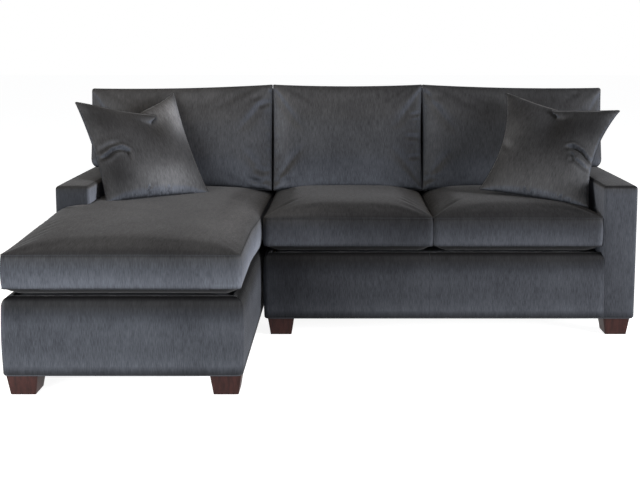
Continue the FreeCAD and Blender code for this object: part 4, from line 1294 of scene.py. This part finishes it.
class SOFA_OT_undersides(bpy.types.Operator):
    """Make the bottom welts, bottom cloths with their staples, and decks"""
    bl_idname = "sofa.undersides"
    bl_label = "Undersides"

    def execute(self, context):
        sizes = context.scene.sofa_body
        long, wide, deep = STAPLE
        staple = new_piece("staple_pattern", *soft_block(
            (-long / 2, -wide / 2, -deep), (long / 2, wide / 2, 0), 0.2 * MM, 20 * MM, 0.0), ZINC)
        for section in SECTIONS:
            ring = section_ring(section, sizes.welt_radius, sizes.corner_round)
            path = at_height(ring, PANEL_BOTTOM - sizes.welt_radius)
            welt = grown_piece(section + "_welt", [path], WELT,
                               {"Radius": sizes.welt_radius, "Sides": 10})
            place_piece(welt, section + "_section", "velvet", section + "_bottom_welt")
            self.bottom_cloth(section, staple)
            self.deck(section, sizes.base_round + 2 * MM)
        bpy.data.objects.remove(staple)
        return {"FINISHED"}

    def bottom_cloth(self, section, staple):
        """The thin cloth stretched under the frame, stapled near its edge."""
        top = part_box(section + "_dust_cover")[1].z
        bottom = top - BOTTOM_CLOTH
        ring = section_ring(section, 7 * MM, 18 * MM)
        flat, triangles = fill_panel(ring, 30 * MM)
        count, edge = len(flat), len(ring)
        sag = dome(flat, triangles, np.arange(count) < edge) * BOTTOM_SAG
        points = np.vstack((at_height(flat, top - sag), at_height(flat, bottom - sag)))
        faces = two_sides(triangles, triangles + count)
        faces += [(i, i + count, (i + 1) % edge + count, (i + 1) % edge) for i in range(edge)]
        cloth = new_piece(section + "_bottom_cloth", points, faces, "Spun-bonded bottom cloth")
        place_piece(cloth, section + "_section", "bottom_cloth", section + "_dust_cover")
        path = at_height(section_ring(section, 20 * MM, 12 * MM), bottom)
        row = grown_piece(section + "_staples", [path], ROW,
                          {"Part": staple, "Spacing": 42 * MM}, ZINC)
        place_piece(row, section + "_section", "spring_steel")

    def deck(self, section, inset):
        """The padded deck under the seat cushions."""
        low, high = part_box(section + "_deck_cover")
        left, right, front, rear = low.x + inset, high.x - inset, low.y + inset, high.y
        seam = high.z - 3 * MM
        if section == "chaise":
            notch = LEFT_ARM_HIGH.x + CLEAR
            plan = [(left, front), (right, front), (right, rear), (notch, rear),
                    (notch, ARM_FRONT), (left, ARM_FRONT)]
        else:
            right = ARM_LOW.x - CLEAR
            plan = [(left, front), (right, front), (right, rear), (left, rear)]
        points, faces, _, _ = boxed_form(
            [(*place, 20 * MM, 0) for place in plan], seam - DECK_DEPTH, seam, 26 * MM, 0.0,
            lambda share, inset, flat: DECK_CROWN * share ** 0.3,
            lambda share, inset, flat: 0 * share)
        deck = new_piece(section + "_deck", points, faces, "Deck cloth")
        place_piece(deck, section + "_section", "deck_cloth", section + "_deck_cover",
                    section + "_deck_pad", fill=0.9)


# Feet

# How much narrower a foot is at the floor
FOOT_TAPER = 22 * MM


class SOFA_OT_feet(bpy.types.Operator):
    """Make the eight tapered block feet with eased edges"""
    bl_idname = "sofa.feet"
    bl_label = "Feet"

    def execute(self, context):
        for section in SECTIONS:
            for corner in ("front_left", "front_right", "rear_left", "rear_right"):
                node = section + "_foot_" + corner
                low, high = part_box(node)
                points, faces = soft_block(low, high, 1.6 * MM, 18 * MM, 0.0)
                middle = np.array((low + high) / 2)[:2]
                share = (points[:, 2] - low.z) / (high.z - low.z)
                taper = 1 - FOOT_TAPER / (high.x - low.x) * (1 - share[:, None])
                points[:, :2] = middle + (points[:, :2] - middle) * taper
                foot = new_piece(node + "_block", points, faces, BEECH)
                place_piece(foot, section + "_section", "stained_wood", node)
        return {"FINISHED"}


# Stage

def seen_directly(tree):
    """1 for what the camera, a mirror or a glass sees, and 0 for light that falls on things."""
    ray = add_node(tree, "ShaderNodeLightPath").node.outputs
    seen = calculate(tree, "MAXIMUM", ray["Is Camera Ray"], ray["Is Glossy Ray"])
    return calculate(tree, "MAXIMUM", seen, ray["Is Transmission Ray"])


def mix_by_sight(data, output, unseen, seen):
    """Fill a node tree that shows one shader to direct sight and the other to the light."""
    data.use_nodes = True
    tree = data.node_tree
    tree.nodes.clear()
    mixed = add_node(tree, "ShaderNodeMixShader",
                     {0: seen_directly(tree), 1: unseen(tree), 2: seen(tree)})
    add_node(tree, output, {"Surface": mixed})


def matt(tree, grey):
    return add_node(tree, "ShaderNodeBsdfDiffuse", {"Color": (grey, grey, grey, 1)})


def glowing_floor(tree):
    """White, with the object's shadow on it."""
    bright = add_node(tree, "ShaderNodeEmission", {"Color": (1, 1, 1, 1), "Strength": 0.9})
    return add_node(tree, "ShaderNodeAddShader", {0: bright, 1: matt(tree, 0.55)})


def even_light(*colour_and_strength):
    *tint, strength = colour_and_strength
    return lambda tree: add_node(tree, "ShaderNodeBackground",
                                 {"Color": (*tint, 1), "Strength": strength})


# The camera's place, how far it looks down, and the shift of its picture
CAMERA_PLACE, CAMERA_DIP = (-0.0110, -3.9874, 1.2003), math.radians(5)
CAMERA_SHIFT = (-0.0375, -0.1795)
FLOOR_REACH = 30.0
# For each soft light: its colour, where it is and aims, and its width and height
LIGHTS = {
    "left": ((0.95, 0.98, 1.0), (-2.1, -2.8, 0.65), (-0.6, -0.5, 0.35), 1.8, 1.2),
    "right": ((0.98, 0.98, 1.0), (5.2, -2.4, 1.5), (-0.2, -0.3, 0.4), 3.0, 2.0),
    "top": ((1.0, 0.86, 0.70), (-1.6, -0.4, 2.7), (0, 0, 0.5), 2.2, 2.0),
}


def link_object(name, data):
    item = bpy.data.objects.new(name, data)
    bpy.context.scene.collection.objects.link(item)
    return item


def soft_light(name, power, tint, place, aim, width, height):
    light = bpy.data.lights.new(name, "AREA")
    light.shape = "RECTANGLE"
    light.size, light.size_y = width, height
    light.energy, light.color = power, tint
    lamp = link_object(name, light)
    lamp.location = place
    lamp.rotation_euler = (Vector(aim) - Vector(place)).to_track_quat("-Z", "Y").to_euler()
    lamp.visible_camera = False


class SOFA_OT_stage(bpy.types.Operator):
    """Set the camera, the soft studio light and the white floor"""
    bl_idname = "sofa.stage"
    bl_label = "Stage"

    def execute(self, context):
        scene, sizes = context.scene, context.scene.sofa_stage
        camera = bpy.data.cameras.new("camera")
        camera.sensor_width, camera.lens = 36, sizes.lens
        camera.shift_x, camera.shift_y = CAMERA_SHIFT
        scene.camera = link_object("camera", camera)
        scene.camera.location = CAMERA_PLACE
        scene.camera.rotation_euler = (math.pi / 2 - CAMERA_DIP, 0, 0)
        mesh = bpy.data.meshes.new("floor")
        mesh.from_pydata([(x * FLOOR_REACH, y * FLOOR_REACH, 0) for x, y in SQUARE], [],
                         [(0, 1, 2, 3)])
        white = bpy.data.materials.new("White studio floor")
        mix_by_sight(white, "ShaderNodeOutputMaterial", lambda tree: matt(tree, 0.8),
                     glowing_floor)
        mesh.materials.append(white)
        link_object("floor", mesh)
        for name, facts in LIGHTS.items():
            soft_light(name + "_light", getattr(sizes, name), *facts)
        scene.world = bpy.data.worlds.new("studio")
        mix_by_sight(scene.world, "ShaderNodeOutputWorld", even_light(0.95, 0.97, 1, sizes.world),
                     even_light(1, 1, 1, 1.0))
        scene.view_settings.view_transform = "Standard"
        return {"FINISHED"}


class SOFA_PT_panel(bpy.types.Panel):
    """Lists the sofa's pieces"""
    bl_idname = "SOFA_PT_panel"
    bl_label = "Sectional Sofa"
    bl_space_type = "VIEW_3D"
    bl_region_type = "UI"
    bl_category = "Sofa"

    def draw(self, context):
        for maker in OPERATORS:
            self.layout.operator(maker.bl_idname)
        for group in GROUPS:
            settings = getattr(context.scene, group)
            box = self.layout.box()
            for name in settings.__annotations__:
                box.prop(settings, name, text=name.replace("_", " ").capitalize())


OPERATORS = (SOFA_OT_finishes, SOFA_OT_frame_parts, SOFA_OT_covers, SOFA_OT_undersides,
             SOFA_OT_feet, SOFA_OT_seat_cushions, SOFA_OT_back_cushions, SOFA_OT_throw_pillows,
             SOFA_OT_stage)
GROUPS = {"sofa_fabric": SofaFabricSettings, "sofa_seats": SofaSeatSettings,
          "sofa_backs": SofaBackSettings, "sofa_pillows": SofaPillowSettings,
          "sofa_body": SofaBodySettings, "sofa_stage": SofaStageSettings}


def register():
    for item in (*GROUPS.values(), *OPERATORS, SOFA_PT_panel):
        bpy.utils.register_class(item)
    for name, group in GROUPS.items():
        setattr(bpy.types.Scene, name, bpy.props.PointerProperty(type=group))


def unregister():
    for name in GROUPS:
        delattr(bpy.types.Scene, name)
    for item in (SOFA_PT_panel, *reversed(OPERATORS), *reversed(GROUPS.values())):
        bpy.utils.unregister_class(item)


def main():
    register()
    grow_tree(WELT, [("Radius", "Float", 3 * MM), ("Sides", "Int", 8)], sweep_welt)
    grow_tree(ROW, [("Part", "Object", None), ("Spacing", "Float", 40 * MM)], repeat_part)
    bpy.ops.sofa.finishes()
    bpy.ops.sofa.frame_parts()
    bpy.ops.sofa.covers()
    bpy.ops.sofa.undersides()
    bpy.ops.sofa.feet()
    bpy.ops.sofa.seat_cushions()
    bpy.ops.sofa.back_cushions()
    bpy.ops.sofa.throw_pillows()
    bpy.ops.sofa.stage()


if __name__ == "__main__":
    main()
